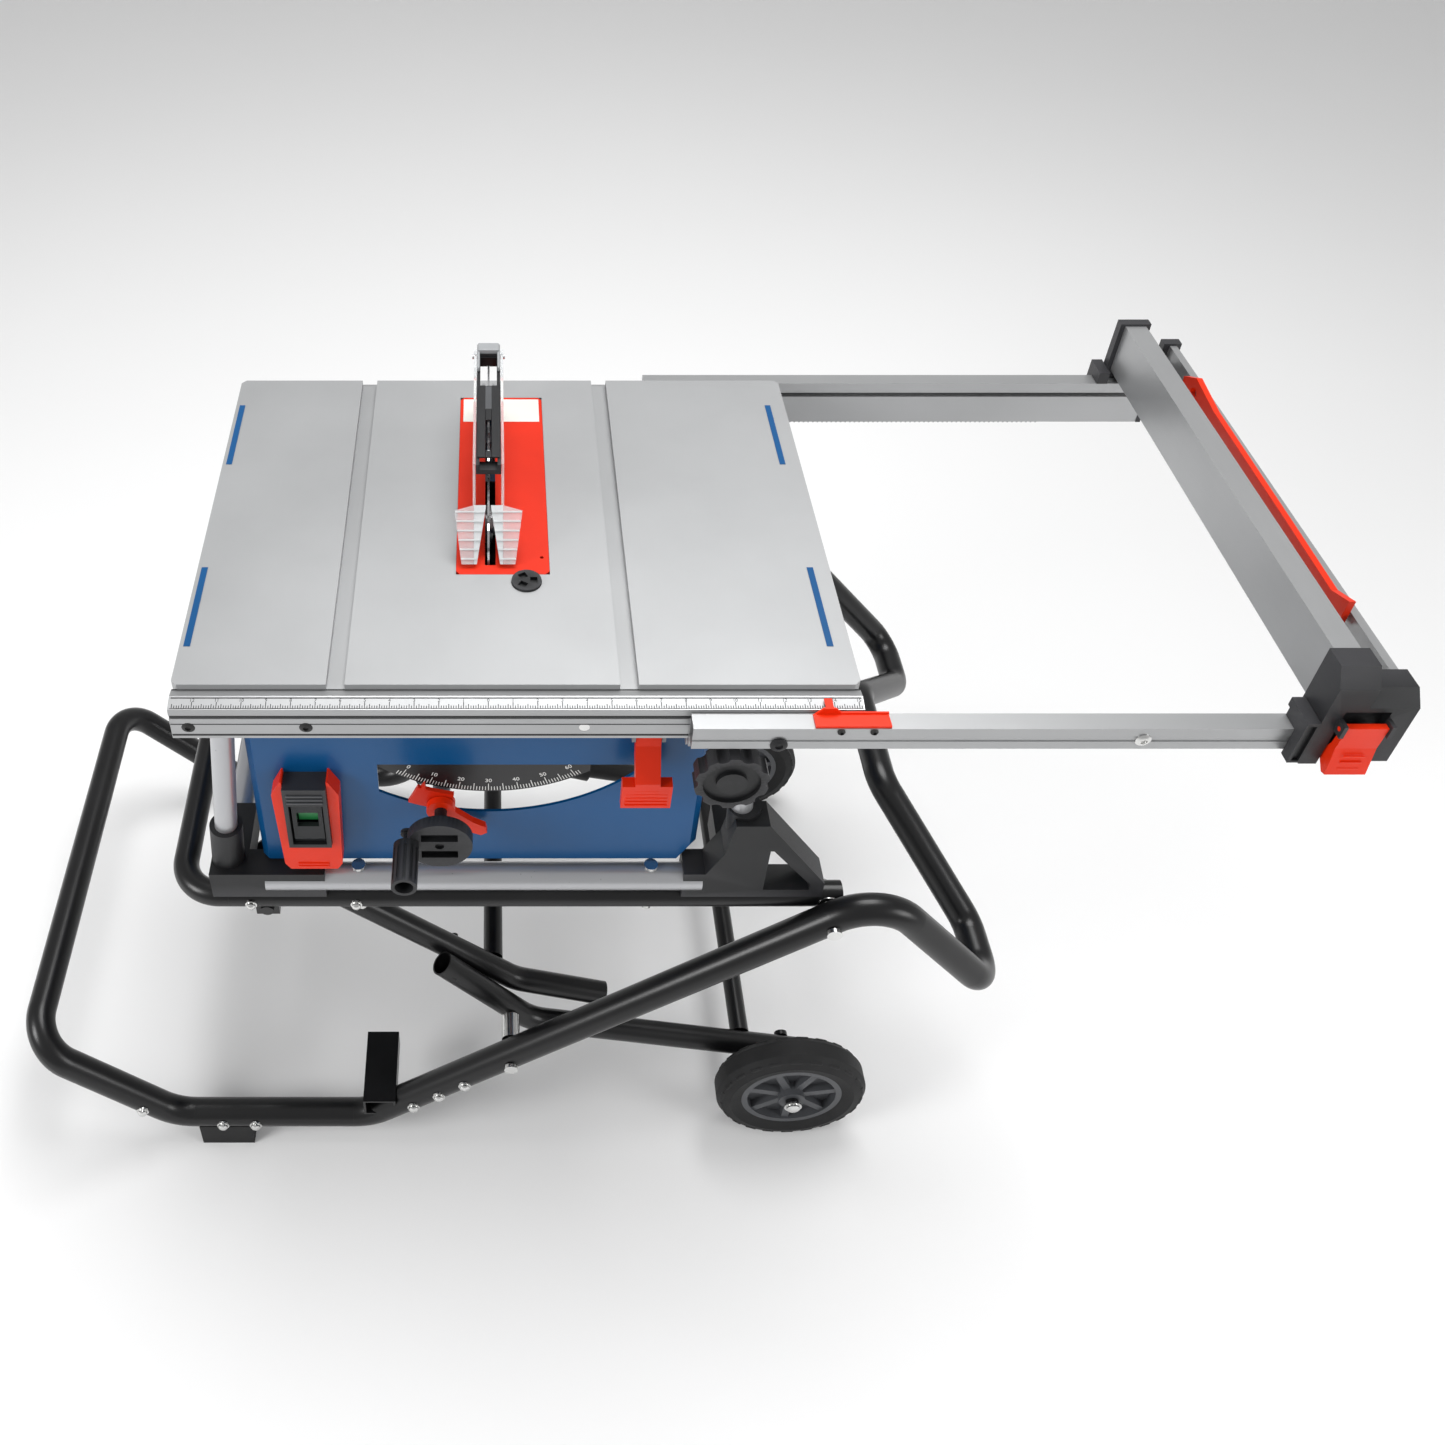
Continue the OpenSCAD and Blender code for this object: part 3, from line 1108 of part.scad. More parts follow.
module wheel_frame() {
    y = mid_y - strut_half;
    end = axle_p + 18 * axle_dir;
    tie = axle_p - 62 * axle_dir;
    tyre_y = mid_y - wheel_half - wheel_w / 2;       // outer face of the tyre
    color("dimgray") both_sides() difference() {
        union() {
            bent_tube([side(cap_p, y), side(knee_p, y), side(end, y)], strut_r, 60);
            tube(side(tie, y + strut_r - 1), side(tie, mid_y), 13);
        }
        for (p = [scis_p, brace_p, axle_p]) bar_y(p[0], p[1], y - 30, y + 30, pin_r + RUN);
    }
    color("silver") both_sides() {
        // brace pivots
        bar_y(brace_p[0], brace_p[1], y - strut_r, y + strut_r, pin_r);
        // axles with spacer and nut
        bar_y(axle_p[0], axle_p[1], tyre_y - 5, y + strut_r + 3, pin_r);
        bar_y(axle_p[0], axle_p[1], tyre_y - 8, tyre_y - GAP, 9);
        bar_y(axle_p[0], axle_p[1], y + strut_r + 0.1, y + strut_r + 6, 9);
        bar_y(axle_p[0], axle_p[1], tyre_y + wheel_w + GAP, y - strut_r - 0.1, 10);
    }
}
module brace_frame() {
    y = mid_y - brace_half;
    tie = bend_p - 40 * brace_dir;
    color("silver") both_sides() difference() {
        union() {
            bent_tube([side(hook_p - 25 * brace_dir, y), side(bend_p, y), side(tail_p, y)], strut_r, 60);
            tube(side(tie, y + strut_r - 1), side(tie, mid_y), 13);
        }
        bar_y(hook_p[0], hook_p[1], y - 30, y + 30, hook_r + RUN);
        bar_y(brace_p[0], brace_p[1], y - 30, y + 30, pin_r + RUN);
    }
    // the brace's half of the pivot bolt
    color("silver") both_sides() bar_y(brace_p[0], brace_p[1], y - strut_r, y + strut_r + 4, pin_r);
}
module tyre(s) {
    r = wheel_r;
    w = wheel_w / 2;
    color("black") translate([axle_p[0], mid_y + s * wheel_half, wheel_r]) rotate([90, 0, 0])
        rotate_extrude($fn = 96) polygon([[68, -w + 5], [r - 18, -w], [r - 6, -w + 4], [r, -w + 12],
            [r, w - 12], [r - 6, w - 4], [r - 18, w], [68, w - 5]]);
}
module hub(s) {
    w = wheel_w / 2;
    color("dimgray") translate([axle_p[0], mid_y + s * wheel_half, wheel_r]) rotate([90, 0, 0]) difference() {
        union() {
            translate([0, 0, -w]) cylinder(h = 2 * w, r = 18);
            difference() {
                translate([0, 0, -w + 5.2]) cylinder(h = 2 * w - 10.4, r = 68 - RUN);
                translate([0, 0, -w]) cylinder(h = 2 * w, r = 60);
            }
            for (k = [0:6]) rotate(360 * k / 7 + 12) translate([16, -5, -w + 8]) cube([46, 10, 2 * w - 16]);
            translate([0, 0, -4]) cylinder(h = 8, r = 62);
        }
        translate([0, 0, -w - 1]) cylinder(h = 2 * w + 2, r = pin_r + RUN);
    }
}
module tyre_front() { tyre(-1); }
module tyre_rear() { tyre(1); }
module hub_front() { hub(-1); }
module hub_rear() { hub(1); }

// ---------- show ----------
translate(org) table_top();
translate(org) throat_plate();
translate(org) insert_knob();
translate(org) edge_strips();
translate(org) fixed_rails();
translate(org) table_brackets();
translate(org) housing();
translate(org) bevel_scale();
translate(org) switch_housing();
translate(org) switch_bezel();
translate(org) switch_paddle();
translate(org) start_button();
translate(org) dust_port();
translate(org) cord_gland();
translate(org) base_tubes();
translate(org) corner_mouldings();
translate(org) fasteners();
translate(org) deck_rails();
translate(org) deck_loop();
translate(org) rail_lock_lever();
translate(org) tilt_frame();
translate(org) guide_posts();
translate(org) bevel_pointer();
translate(org) bevel_lock_lever();
translate(org) crank_wheel();
translate(org) crank_handle();
translate(org) lead_screw();
translate(org) motor_bracket();
translate(org) motor_housing();
translate(org) stator();
translate(org) riving_knife();
translate(org) guard_arm();
translate(org) dust_shroud();
translate(org) arbor();
translate(org) blade();
translate(org) armature();
translate(org) guard_pin();
translate(org) guard_left();
translate(org) guard_right();
translate(org) kickback_pawls();
translate(org) slide_rails();
translate(org) rail_ends();
translate(org) fence_bars();
translate(org) fence_ends();
translate(org) push_stick();
translate(org) fence_latch();
translate(org) rail_pointer();
translate(org) pinion_shaft();
translate(org) adjust_knob();
translate(org) side_tubes();
translate(org) left_loop();
translate(org) right_loop();
translate(org) foot_pads();
translate(org) stand_bolts();
translate(org) wheel_frame();
translate(org) brace_frame();
translate(org) tyre_front();
translate(org) hub_front();
translate(org) tyre_rear();
translate(org) hub_rear();
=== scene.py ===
# %% [markdown]
# # A table saw on a folding stand
# The saw is a cast table over a painted sheet-steel housing. Two racks and a pinion shaft carry the fence
# out to the right, and the whole saw stands on two crossed frames of bent tube. The CAD parts arrive with
# their true shapes, so this lesson is about surfaces, small trim and light.

# %% Load the frame
import bpy, bmesh, math
from mathutils import Matrix, Vector


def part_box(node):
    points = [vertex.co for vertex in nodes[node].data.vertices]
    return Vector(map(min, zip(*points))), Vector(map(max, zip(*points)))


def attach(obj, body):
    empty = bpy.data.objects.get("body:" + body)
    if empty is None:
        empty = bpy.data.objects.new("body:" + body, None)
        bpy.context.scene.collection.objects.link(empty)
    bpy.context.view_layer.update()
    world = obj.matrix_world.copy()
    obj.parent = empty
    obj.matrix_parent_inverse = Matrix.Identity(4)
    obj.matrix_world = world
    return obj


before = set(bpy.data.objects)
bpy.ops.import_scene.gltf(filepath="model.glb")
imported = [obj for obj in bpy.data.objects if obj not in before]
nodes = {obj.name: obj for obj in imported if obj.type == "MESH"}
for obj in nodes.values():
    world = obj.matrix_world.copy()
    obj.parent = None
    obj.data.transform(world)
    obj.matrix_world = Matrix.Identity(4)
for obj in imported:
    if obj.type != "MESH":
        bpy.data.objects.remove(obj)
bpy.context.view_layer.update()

# %% [markdown]
# Every place below is measured from the table: its middle, its front edge and the floor. A saw is set out
# the same way in the workshop, because the table face is the one surface that everything is squared to.

# %% Places
table_low, table_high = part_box("table_top")
ORIGIN = Vector(((table_low.x + table_high.x) / 2, table_low.y, 0))
FACE = table_high.z
BLADE_X = (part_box("blade")[0].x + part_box("blade")[1].x) / 2


def spot(x, y, z):
    """Millimetres from the table's middle, its front edge and the floor, as a place in metres."""
    return ORIGIN + Vector((x, y, z)) / 1000


print("table face", round(FACE, 4), "blade plane", round(BLADE_X, 4))

# %% [markdown]
# The camera stands in front of the table and looks down at it, and its lens is shifted sideways so that
# the table stays square to the picture while the fence reaches out to the right.

# %% Camera
camera_data = bpy.data.cameras.new("camera")
camera_data.sensor_width = 36
camera_data.lens = 34.52
camera_data.shift_x = 0.161
camera_data.shift_y = -0.149
camera = bpy.data.objects.new("camera", camera_data)
camera.location = spot(-26.45, -963.79, 1938.3)
camera.rotation_euler = (math.radians(50), 0, 0)
bpy.context.scene.collection.objects.link(camera)
bpy.context.scene.camera = camera
print("camera at", tuple(round(c, 3) for c in camera.location))

# %% [markdown]
# A material here is one shader with a little unevenness: broad clouds move the colour, and a fine grain
# moves the polish and gives the bump. Real paint, moulded plastic and cast metal all have both.

# %% Material helper
def surface(name, colour, rough=0.4, metallic=0.0, cloud=0.06, cloud_size=9.0, grain=0.05,
            grain_size=900.0, stretch=(1, 1, 1), coat=0.0, wear=None, shine=0.5):
    material = bpy.data.materials.new(name)
    material.use_nodes = True
    tree = material.node_tree
    shader = tree.nodes["Principled BSDF"]
    add = tree.nodes.new
    link = tree.links.new
    place = add("ShaderNodeTexCoord")
    mapping = add("ShaderNodeMapping")
    mapping.inputs["Scale"].default_value = stretch
    link(place.outputs["Object"], mapping.inputs["Vector"])
    clouds = add("ShaderNodeTexNoise")
    clouds.inputs["Scale"].default_value = cloud_size
    clouds.inputs["Detail"].default_value = 6
    link(place.outputs["Object"], clouds.inputs["Vector"])
    fine = add("ShaderNodeTexNoise")
    fine.inputs["Scale"].default_value = grain_size
    fine.inputs["Detail"].default_value = 3
    link(mapping.outputs["Vector"], fine.inputs["Vector"])
    # colour moves a little either way round the base colour
    tint = add("ShaderNodeValToRGB")
    dark = [c * (1 - cloud) for c in colour]
    light = [min(1, c * (1 + cloud) + cloud * 0.01) for c in colour]
    tint.color_ramp.elements[0].color = (*dark, 1)
    tint.color_ramp.elements[0].position = 0.3
    tint.color_ramp.elements[1].color = (*light, 1)
    tint.color_ramp.elements[1].position = 0.7
    link(clouds.outputs["Fac"], tint.inputs["Fac"])
    last = tint.outputs["Color"]
    if wear:
        # rubbed edges: pointiness is high where the surface turns sharply outward
        edge = add("ShaderNodeNewGeometry")
        rub = add("ShaderNodeValToRGB")
        rub.color_ramp.elements[0].position = 0.56
        rub.color_ramp.elements[1].position = 0.64
        link(edge.outputs["Pointiness"], rub.inputs["Fac"])
        mix = add("ShaderNodeMix")
        mix.data_type = "RGBA"
        mix.inputs[7].default_value = (*wear, 1)
        link(rub.outputs["Color"], mix.inputs[0])
        link(last, mix.inputs[6])
        last = mix.outputs[2]
    link(last, shader.inputs["Base Color"])
    polish = add("ShaderNodeMapRange")
    polish.inputs["To Min"].default_value = max(0.03, rough - 0.06)
    polish.inputs["To Max"].default_value = min(1, rough + 0.07)
    link(fine.outputs["Fac"], polish.inputs["Value"])
    link(polish.outputs["Result"], shader.inputs["Roughness"])
    bump = add("ShaderNodeBump")
    bump.inputs["Strength"].default_value = grain
    bump.inputs["Distance"].default_value = 0.0004
    link(fine.outputs["Fac"], bump.inputs["Height"])
    link(bump.outputs["Normal"], shader.inputs["Normal"])
    shader.inputs["Metallic"].default_value = metallic
    shader.inputs["Specular IOR Level"].default_value = shine
    shader.inputs["Coat Weight"].default_value = coat
    shader.inputs["Coat Roughness"].default_value = 0.12
    return material


# %% [markdown]
# The table and rails are aluminium. The table is ground in one direction, which leaves faint lines from
# front to back, and the rails are drawn through a die, so their lines run along them.

# %% Metals
ground = surface("ground_aluminium", (0.37, 0.375, 0.38), 0.44, 0.45, 0.05, 6, 0.12, 500, (3, 0.04, 1))
drawn = surface("drawn_aluminium", (0.40, 0.405, 0.41), 0.34, 0.7, 0.04, 8, 0.08, 500, (0.03, 2, 2))
drawn_y = surface("drawn_fence", (0.40, 0.405, 0.41), 0.36, 0.7, 0.04, 8, 0.08, 500, (2, 0.03, 2))
steel = surface("steel", (0.55, 0.56, 0.57), 0.28, 0.95, 0.06, 20, 0.05, 700, (1, 1, 0.1))
zinc = surface("zinc_plate", (0.70, 0.70, 0.69), 0.22, 1.0, 0.05, 60, 0.04, 900)
tube_silver = surface("silver_tube", (0.45, 0.455, 0.47), 0.30, 0.6, 0.03, 6, 0.0, 400)
cast = surface("cast_grey", (0.22, 0.23, 0.25), 0.55, 0.4, 0.12, 30, 0.35, 500)
copper = surface("copper_windings", (0.5, 0.2, 0.07), 0.35, 0.9, 0.1, 40, 0.3, 700, (8, 1, 1))
print("8 metals")

# %% [markdown]
# Paint and plastic come next. The blue housing is a smooth coat over sheet steel, the stand is black
# powder coat with a fine orange peel, and the grips and mouldings are grained plastic.

# %% Paints and plastics
blue = surface("blue_paint", (0.0005, 0.068, 0.205), 0.32, 0.0, 0.08, 5, 0.12, 700, coat=0.1, shine=0.3)
powder = surface("black_powder", (0.004, 0.004, 0.0045), 0.30, 0.0, 0.2, 12, 0.12, 900, shine=0.42)
dark_plastic = surface("dark_plastic", (0.009, 0.0095, 0.0105), 0.44, 0.0, 0.12, 25, 0.35, 1500,
                       wear=(0.030, 0.030, 0.033), shine=0.35)
grey_plastic = surface("grey_plastic", (0.065, 0.068, 0.074), 0.46, 0.0, 0.1, 25, 0.4, 1400)
light_plastic = surface("light_grey_plastic", (0.30, 0.31, 0.32), 0.38, 0.0, 0.05, 25, 0.2, 1400)
red = surface("red_plastic", (0.76, 0.026, 0.002), 0.36, 0.0, 0.05, 18, 0.2, 1300, shine=0.28)
red_paint = surface("red_paint", (0.64, 0.022, 0.004), 0.40, 0.0, 0.05, 14, 0.1, 900, shine=0.22)
cream = surface("cream_paint", (0.72, 0.71, 0.66), 0.4, 0.0, 0.04, 14, 0.1, 900)
rubber = surface("rubber", (0.008, 0.008, 0.0085), 0.66, 0.0, 0.2, 30, 0.5, 1100, shine=0.35)
green = surface("green_plastic", (0.02, 0.22, 0.06), 0.35, 0.0, 0.05, 20, 0.1, 1200)
white_ink = surface("white_ink", (0.80, 0.80, 0.78), 0.5, 0.0, 0.03, 40, 0.05, 900)
black_ink = surface("black_ink", (0.01, 0.01, 0.01), 0.5, 0.0, 0.03, 40, 0.05, 900)
scale_black = surface("scale_black", (0.008, 0.008, 0.009), 0.4, 0.0, 0.1, 20, 0.1, 900)
print("13 paints and plastics")

# %% [markdown]
# The side barriers of the guard are clear polycarbonate, scuffed where the work rubs them, and the switch
# cover is the same sheet in smoke grey. Each lets only part of the light through, and a low index bends
# the view behind it only a little, as a 3 mm sheet does.

# %% Clear sheet
clear = surface("clear_sheet", (0.90, 0.92, 0.93), 0.10, 0.0, 0.03, 30, 0.05, 500)
frosted = surface("frosted_sheet", (0.72, 0.75, 0.76), 0.30, 0.0, 0.03, 30, 0.15, 500)
smoky = surface("smoky_sheet", (0.035, 0.037, 0.040), 0.12, 0.0, 0.03, 30, 0.05, 500)
for material, passing in ((clear, 0.70), (frosted, 0.30), (smoky, 0.45)):
    shader = material.node_tree.nodes["Principled BSDF"]
    shader.inputs["Transmission Weight"].default_value = passing
    shader.inputs["IOR"].default_value = 1.30

# %% [markdown]
# Each CAD part takes its finish from this list, which reads like a parts list: what is made of what. Its
# hard edges are broken by a narrow bevel, as a deburred or moulded edge is, and they catch the light.

# %% Dress the CAD parts
FINISHES = {
    ground: ["table_top"],
    drawn: ["fixed_rails", "slide_rails"],
    drawn_y: ["fence_bars"],
    steel: ["blade", "riving_knife", "arbor", "armature", "lead_screw", "pinion_shaft", "kickback_pawls",
            "guard_pin"],
    zinc: ["fasteners", "stand_bolts", "guide_posts"],
    tube_silver: ["base_tubes"],
    cast: ["table_brackets", "tilt_frame", "motor_bracket"],
    copper: ["stator"],
    blue: ["housing", "edge_strips"],
    powder: ["deck_rails", "deck_loop", "side_tubes", "left_loop", "right_loop", "wheel_frame",
             "brace_frame"],
    dark_plastic: ["corner_mouldings", "crank_wheel", "crank_handle", "adjust_knob", "insert_knob",
                   "switch_housing", "dust_port", "rail_ends", "fence_ends", "motor_housing", "dust_shroud",
                   "guard_arm"],
    grey_plastic: ["hub_front", "hub_rear"],
    red: ["switch_bezel", "rail_lock_lever", "bevel_lock_lever", "push_stick", "fence_latch", "rail_pointer"],
    red_paint: ["throat_plate", "bevel_pointer"],
    scale_black: ["bevel_scale"],
    green: ["start_button"],
    clear: ["guard_left", "guard_right"],
    smoky: ["switch_paddle"],
    rubber: ["tyre_front", "tyre_rear", "foot_pads", "cord_gland"],
}
NO_BEVEL = {"arbor", "armature", "pinion_shaft", "slide_rails", "edge_strips", "bevel_scale"}


def soften(piece, width, angle=35):
    for face in piece.data.polygons:
        face.use_smooth = True
    piece.data.set_sharp_from_angle(angle=math.radians(angle))
    if width:
        bevel = piece.modifiers.new("edges", "BEVEL")
        bevel.width = width
        bevel.segments = 2
        bevel.limit_method = "ANGLE"
        bevel.angle_limit = math.radians(50)
        bevel.harden_normals = True


for material, names in FINISHES.items():
    for name in names:
        node = nodes[name]
        node.data.materials.clear()
        node.data.materials.append(material)
        soften(node, 0 if name in NO_BEVEL else 0.0006)
print("dressed", sum(len(names) for names in FINISHES.values()), "of", len(nodes))

# %% [markdown]
# Small trim is built from blocks and turned pieces. Both are joined into one mesh per piece, so that a
# ruler with two hundred lines is still one strip that rides on its rail.

# %% Mesh helpers
def piece_from(name, mesh, material, body, bevel=0.0):
    data = bpy.data.meshes.new(name)
    mesh.to_mesh(data)
    mesh.free()
    thing = bpy.data.objects.new(name, data)
    bpy.context.scene.collection.objects.link(thing)
    data.materials.append(material)
    soften(thing, bevel)
    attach(thing, body)
    return thing


def add_block(mesh, low, high, turn=None):
    """A block between two corners; turn is a matrix that places it."""
    size = Vector(high) - Vector(low)
    middle = (Vector(low) + Vector(high)) / 2
    for vert in bmesh.ops.create_cube(mesh, size=1)["verts"]:
        vert.co = Vector(a * b for a, b in zip(vert.co, size)) + middle
        if turn:
            vert.co = turn @ vert.co


def add_turned(mesh, profile, place, axis="Y", steps=24):
    """A turned solid: profile is (distance along the axis, radius), closed at both ends."""
    rings = []
    for along, radius in profile:
        ring = []
        for k in range(steps):
            a = 2 * math.pi * k / steps
            u, v = radius * math.cos(a), radius * math.sin(a)
            offset = {"X": (along, u, v), "Y": (u, along, v), "Z": (u, v, along)}[axis]
            ring.append(mesh.verts.new(Vector(place) + Vector(offset)))
        rings.append(ring)
    for a, b in zip(rings, rings[1:]):
        for k in range(steps):
            mesh.faces.new((a[k], a[(k + 1) % steps], b[(k + 1) % steps], b[k]))
    mesh.faces.new(rings[0])
    mesh.faces.new(rings[-1])
    bmesh.ops.recalc_face_normals(mesh, faces=mesh.faces[:])


# %% [markdown]
# The ruler lies on the sloped seat of the front rail. Its lines stand every 2.5 mm, longer at each 10 and
# longest at each 25, where a number counts the steps. The zero is at the blade, so they grow both ways.

# %% Front ruler
RULER_Y0, RULER_Y1 = -11.0, -24.0
RULER_Z0, RULER_Z1 = 887.9, 884.1
slope = math.atan2(RULER_Z0 - RULER_Z1, RULER_Y0 - RULER_Y1)
ruler_turn = Matrix.Translation(spot(0, RULER_Y1, RULER_Z1)) @ Matrix.Rotation(slope, 4, "X")
ruler_depth = math.hypot(RULER_Z0 - RULER_Z1, RULER_Y0 - RULER_Y1) / 1000
half_table = (table_high.x - table_low.x) / 2
mesh = bmesh.new()
add_block(mesh, (-half_table + 0.001, 0, -0.0001), (half_table - 0.001, ruler_depth, 0.0003), ruler_turn)
piece_from("ruler_strip", mesh, ground, "saw", 0.0001)
mesh = bmesh.new()
RULER_STEP = 0.0025
PER_NUMBER = 10
LINE_HALF = 0.0004
blade_offset = BLADE_X - ORIGIN.x
first = math.ceil((-half_table - blade_offset) / RULER_STEP + 1)
last = math.floor((half_table - blade_offset) / RULER_STEP - 1)
for k in range(first, last + 1):
    x = blade_offset + k * RULER_STEP
    long = 0.0075 if k % PER_NUMBER == 0 else 0.0052 if k % 4 == 0 else 0.0036
    add_block(mesh, (x - LINE_HALF, 0.0004, 0.0002), (x + LINE_HALF, long, 0.0004), ruler_turn)
for y0, y1 in ((0.0, 0.0006), (ruler_depth - 0.0022, ruler_depth - 0.0010)):
    add_block(mesh, (-half_table + 0.002, y0, 0.0002), (half_table - 0.002, y1, 0.00045), ruler_turn)
piece_from("ruler_lines", mesh, black_ink, "saw")
print("ruler lines", last - first + 1)

# %% [markdown]
# Numbers are text curves with a little thickness. Blender keeps them as curves, so each stays editable, and
# the same helper serves the ruler and the bevel dial.

# %% Ruler numbers
def number(name, text, size, turn, material, body):
    data = bpy.data.curves.new(name, "FONT")
    data.body = text
    data.size = size
    data.align_x = "CENTER"
    data.extrude = 0.0001
    thing = bpy.data.objects.new(name, data)
    thing.matrix_world = turn
    bpy.context.scene.collection.objects.link(thing)
    data.materials.append(material)
    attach(thing, body)
    return thing


for k in range(math.ceil(first / PER_NUMBER), last // PER_NUMBER + 1):
    place = Matrix.Translation((blade_offset + k * PER_NUMBER * RULER_STEP, 0.0078, 0.0003))
    name = f"ruler_number_{k - first // PER_NUMBER}"
    number(name, str(abs(k)), 0.0052, ruler_turn @ place, black_ink, "saw")

# %% [markdown]
# The rail is drawn with grooves along its face, and the shade in them makes them read as dark lines. Thin
# black strips lie in them as painted shade, because a groove this narrow would otherwise be lost in the
# bevels.

# %% Painted shade in the rail grooves
# (front, back, bottom, top) of each strip of painted shade
GROOVE_SHADE_STRIPS = ((-25.4, -22.2, 872.2, 874.8), (-26.12, -25.9, 862.4, 863.8), (-26.12, -25.9, 845.6, 848.4),
         (-0.6, 0.6, 884.8, 886.6))
groove_shade_x = half_table * 1000 - 0.5
mesh = bmesh.new()
for y0, y1, z0, z1 in GROOVE_SHADE_STRIPS:
    add_block(mesh, spot(-groove_shade_x, y0, z0), spot(groove_shade_x, y1, z1))
# the black strips are painted shade standing in for the dark inside each groove
piece_from("rail_groove_shade", mesh, scale_black, "saw", 0.0)
print("rail seams", len(GROOVE_SHADE_STRIPS))

# %% [markdown]
# The bevel dial is a black crescent behind the window. Its white lines fan out from the tilt axis, which
# is the blade's own line in the table face, so every line points at the blade.

# %% Bevel dial
DIAL_R = 0.192
dial_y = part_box("bevel_scale")[0].y
mesh = bmesh.new()
for degree in range(-32, 33):
    long = 0.011 if degree % 5 == 0 else 0.006
    turn = Matrix.Translation((BLADE_X, 0, FACE)) @ Matrix.Rotation(math.radians(-degree), 4, "Y")
    add_block(mesh, (-0.0004, dial_y - 0.0003, -DIAL_R), (0.0004, dial_y + 0.0001, -DIAL_R + long), turn)
piece_from("dial_lines", mesh, white_ink, "saw")
for degree in range(-30, 31, 10):
    fan = Matrix.Rotation(math.radians(-degree), 4, "Y")
    turn = Matrix.Translation((BLADE_X, dial_y - 0.0002, FACE)) @ fan
    turn = turn @ Matrix.Translation((0, 0, -DIAL_R + 0.014)) @ Matrix.Rotation(math.radians(90), 4, "X")
    number(f"dial_number_{degree + 30}", str(degree + 30), 0.008, turn, white_ink, "saw")
print("dial radius", DIAL_R)

# %% [markdown]
# A tyre for rough ground has blocks on its shoulders. They're moulded with the tyre, so they're the same
# rubber, and they stand within its outline so that the wheel keeps its size.

# %% Tyre shoulders
TYRE_BLOCKS = 22
BLOCK_HALF, BLOCK_IN, BLOCK_OUT = 0.009, 0.012, 0.003
BLOCK_FOOT, BLOCK_TOP = 0.020, 0.0045
for end in ("front", "rear"):
    low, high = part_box(f"tyre_{end}")
    middle = (low + high) / 2
    radius = (high.z - low.z) / 2
    half = (high.y - low.y) / 2
    mesh = bmesh.new()
    for side in (-1, 1):
        for k in range(TYRE_BLOCKS):
            angle = 2 * math.pi * (k + 0.25 * side) / TYRE_BLOCKS
            turn = Matrix.Translation(middle) @ Matrix.Rotation(angle, 4, "Y")
            y0, y1 = sorted((side * (half - BLOCK_IN), side * (half - BLOCK_OUT)))
            z0, z1 = radius - BLOCK_FOOT, radius - BLOCK_TOP
            add_block(mesh, (-BLOCK_HALF, y0, z0), (BLOCK_HALF, y1, z1), turn)
    piece_from(f"tyre_blocks_{end}", mesh, rubber, f"wheel_{end}", 0.002)
print("blocks on each shoulder", TYRE_BLOCKS)

# %% [markdown]
# The stand is held by dome-headed bolts. Each is turned from bright steel: a washer, a hexagon and a dome.

# %% Bolts on the stand
def dome_bolt(name, place, body, axis="Y", toward=-1, size=0.0085):
    mesh = bmesh.new()
    reach = [(-0.001, size), (0.0012, size), (0.0013, size * 0.78), (0.004, size * 0.76),
             (0.006, size * 0.5), (0.0068, size * 0.12)]
    add_turned(mesh, [(toward * along, radius) for along, radius in reach], place, axis, 20)
    return piece_from(name, mesh, zinc, body, 0.0)


TUBE_FRONT = -45.0
TUBE_BOLTS = ((-500, 92), (-395, 52), (-350, 52), (-130, 103), (-60, 161), (-95, 132))
for k, (x, z) in enumerate(TUBE_BOLTS):
    dome_bolt(f"frame_bolt_{k}", spot(x, TUBE_FRONT, z), "side_frame")
DECK_FRONT = -5.5
for k, x in enumerate((-310, -185)):
    dome_bolt(f"deck_bolt_{k}", spot(x, DECK_FRONT, 518.2), "saw", size=0.007)
dome_bolt("axle_cap", spot(386, -43.5, 101.5), "wheel_frame", size=0.012)
print("bolts on the side tube", len(TUBE_BOLTS))

# %% [markdown]
# The front rail is fixed with black button screws, and the sliding rail carries a stop screw and a small
# clamping knob.

# %% Rail screws
def button_screw(name, place, body, material, size=0.0055):
    mesh = bmesh.new()
    profile = [(0.001, size), (-0.0012, size), (-0.0026, size * 0.7), (-0.003, size * 0.45),
               (-0.0012, size * 0.4), (-0.001, size * 0.05)]
    add_turned(mesh, profile, place, "Y", 20)
    return piece_from(name, mesh, material, body, 0.0)


for k, x in enumerate((-334, -214)):
    button_screw(f"rail_screw_{k}", spot(x, -24.9, 858), "saw", black_ink, 0.007)
button_screw("stop_screw", spot(630, -47, 864), "rails", zinc, 0.008)
button_screw("clamp_screw", spot(265, -47, 856), "rails", dark_plastic, 0.009)
for k, x in enumerate((325, 358)):
    button_screw(f"pointer_screw_{k}", spot(x, -47, 876), "rails", black_ink, 0.004)

# %% [markdown]
# The rear of the throat plate is pale where it can be lifted out. It is a thin painted band, just proud of
# the red, and it stops at the blade slot.

# %% Throat plate bands
plate_low, plate_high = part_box("throat_plate")
edge = 0.004
strip = 0.052
top = plate_high.z
slot_x0, slot_x1 = BLADE_X - 0.005, BLADE_X + 0.009
mesh = bmesh.new()
for x0, x1 in ((plate_low.x + edge, slot_x0), (slot_x1, plate_high.x - edge)):
    add_block(mesh, (x0, plate_high.y - strip, top - 0.0001), (x1, plate_high.y - edge, top + 0.0003))
piece_from("plate_bands", mesh, cream, "saw", 0.0)

# %% [markdown]
# The guard's front flaps are stiffened by cross ribs, and a frosted web fills the space between each flap
# and the middle, cut back in a V so that the operator sees the blade. Both ride on the flap's own barrier.

# %% Guard flaps
FLAP_FOOT = spot(-28, 178, 897)
FLAP_LENGTH = 0.066
RIBS = 6
FIRST_RIB, RIB_STEP, RIB_HALF = 0.006, 0.0105, 0.001
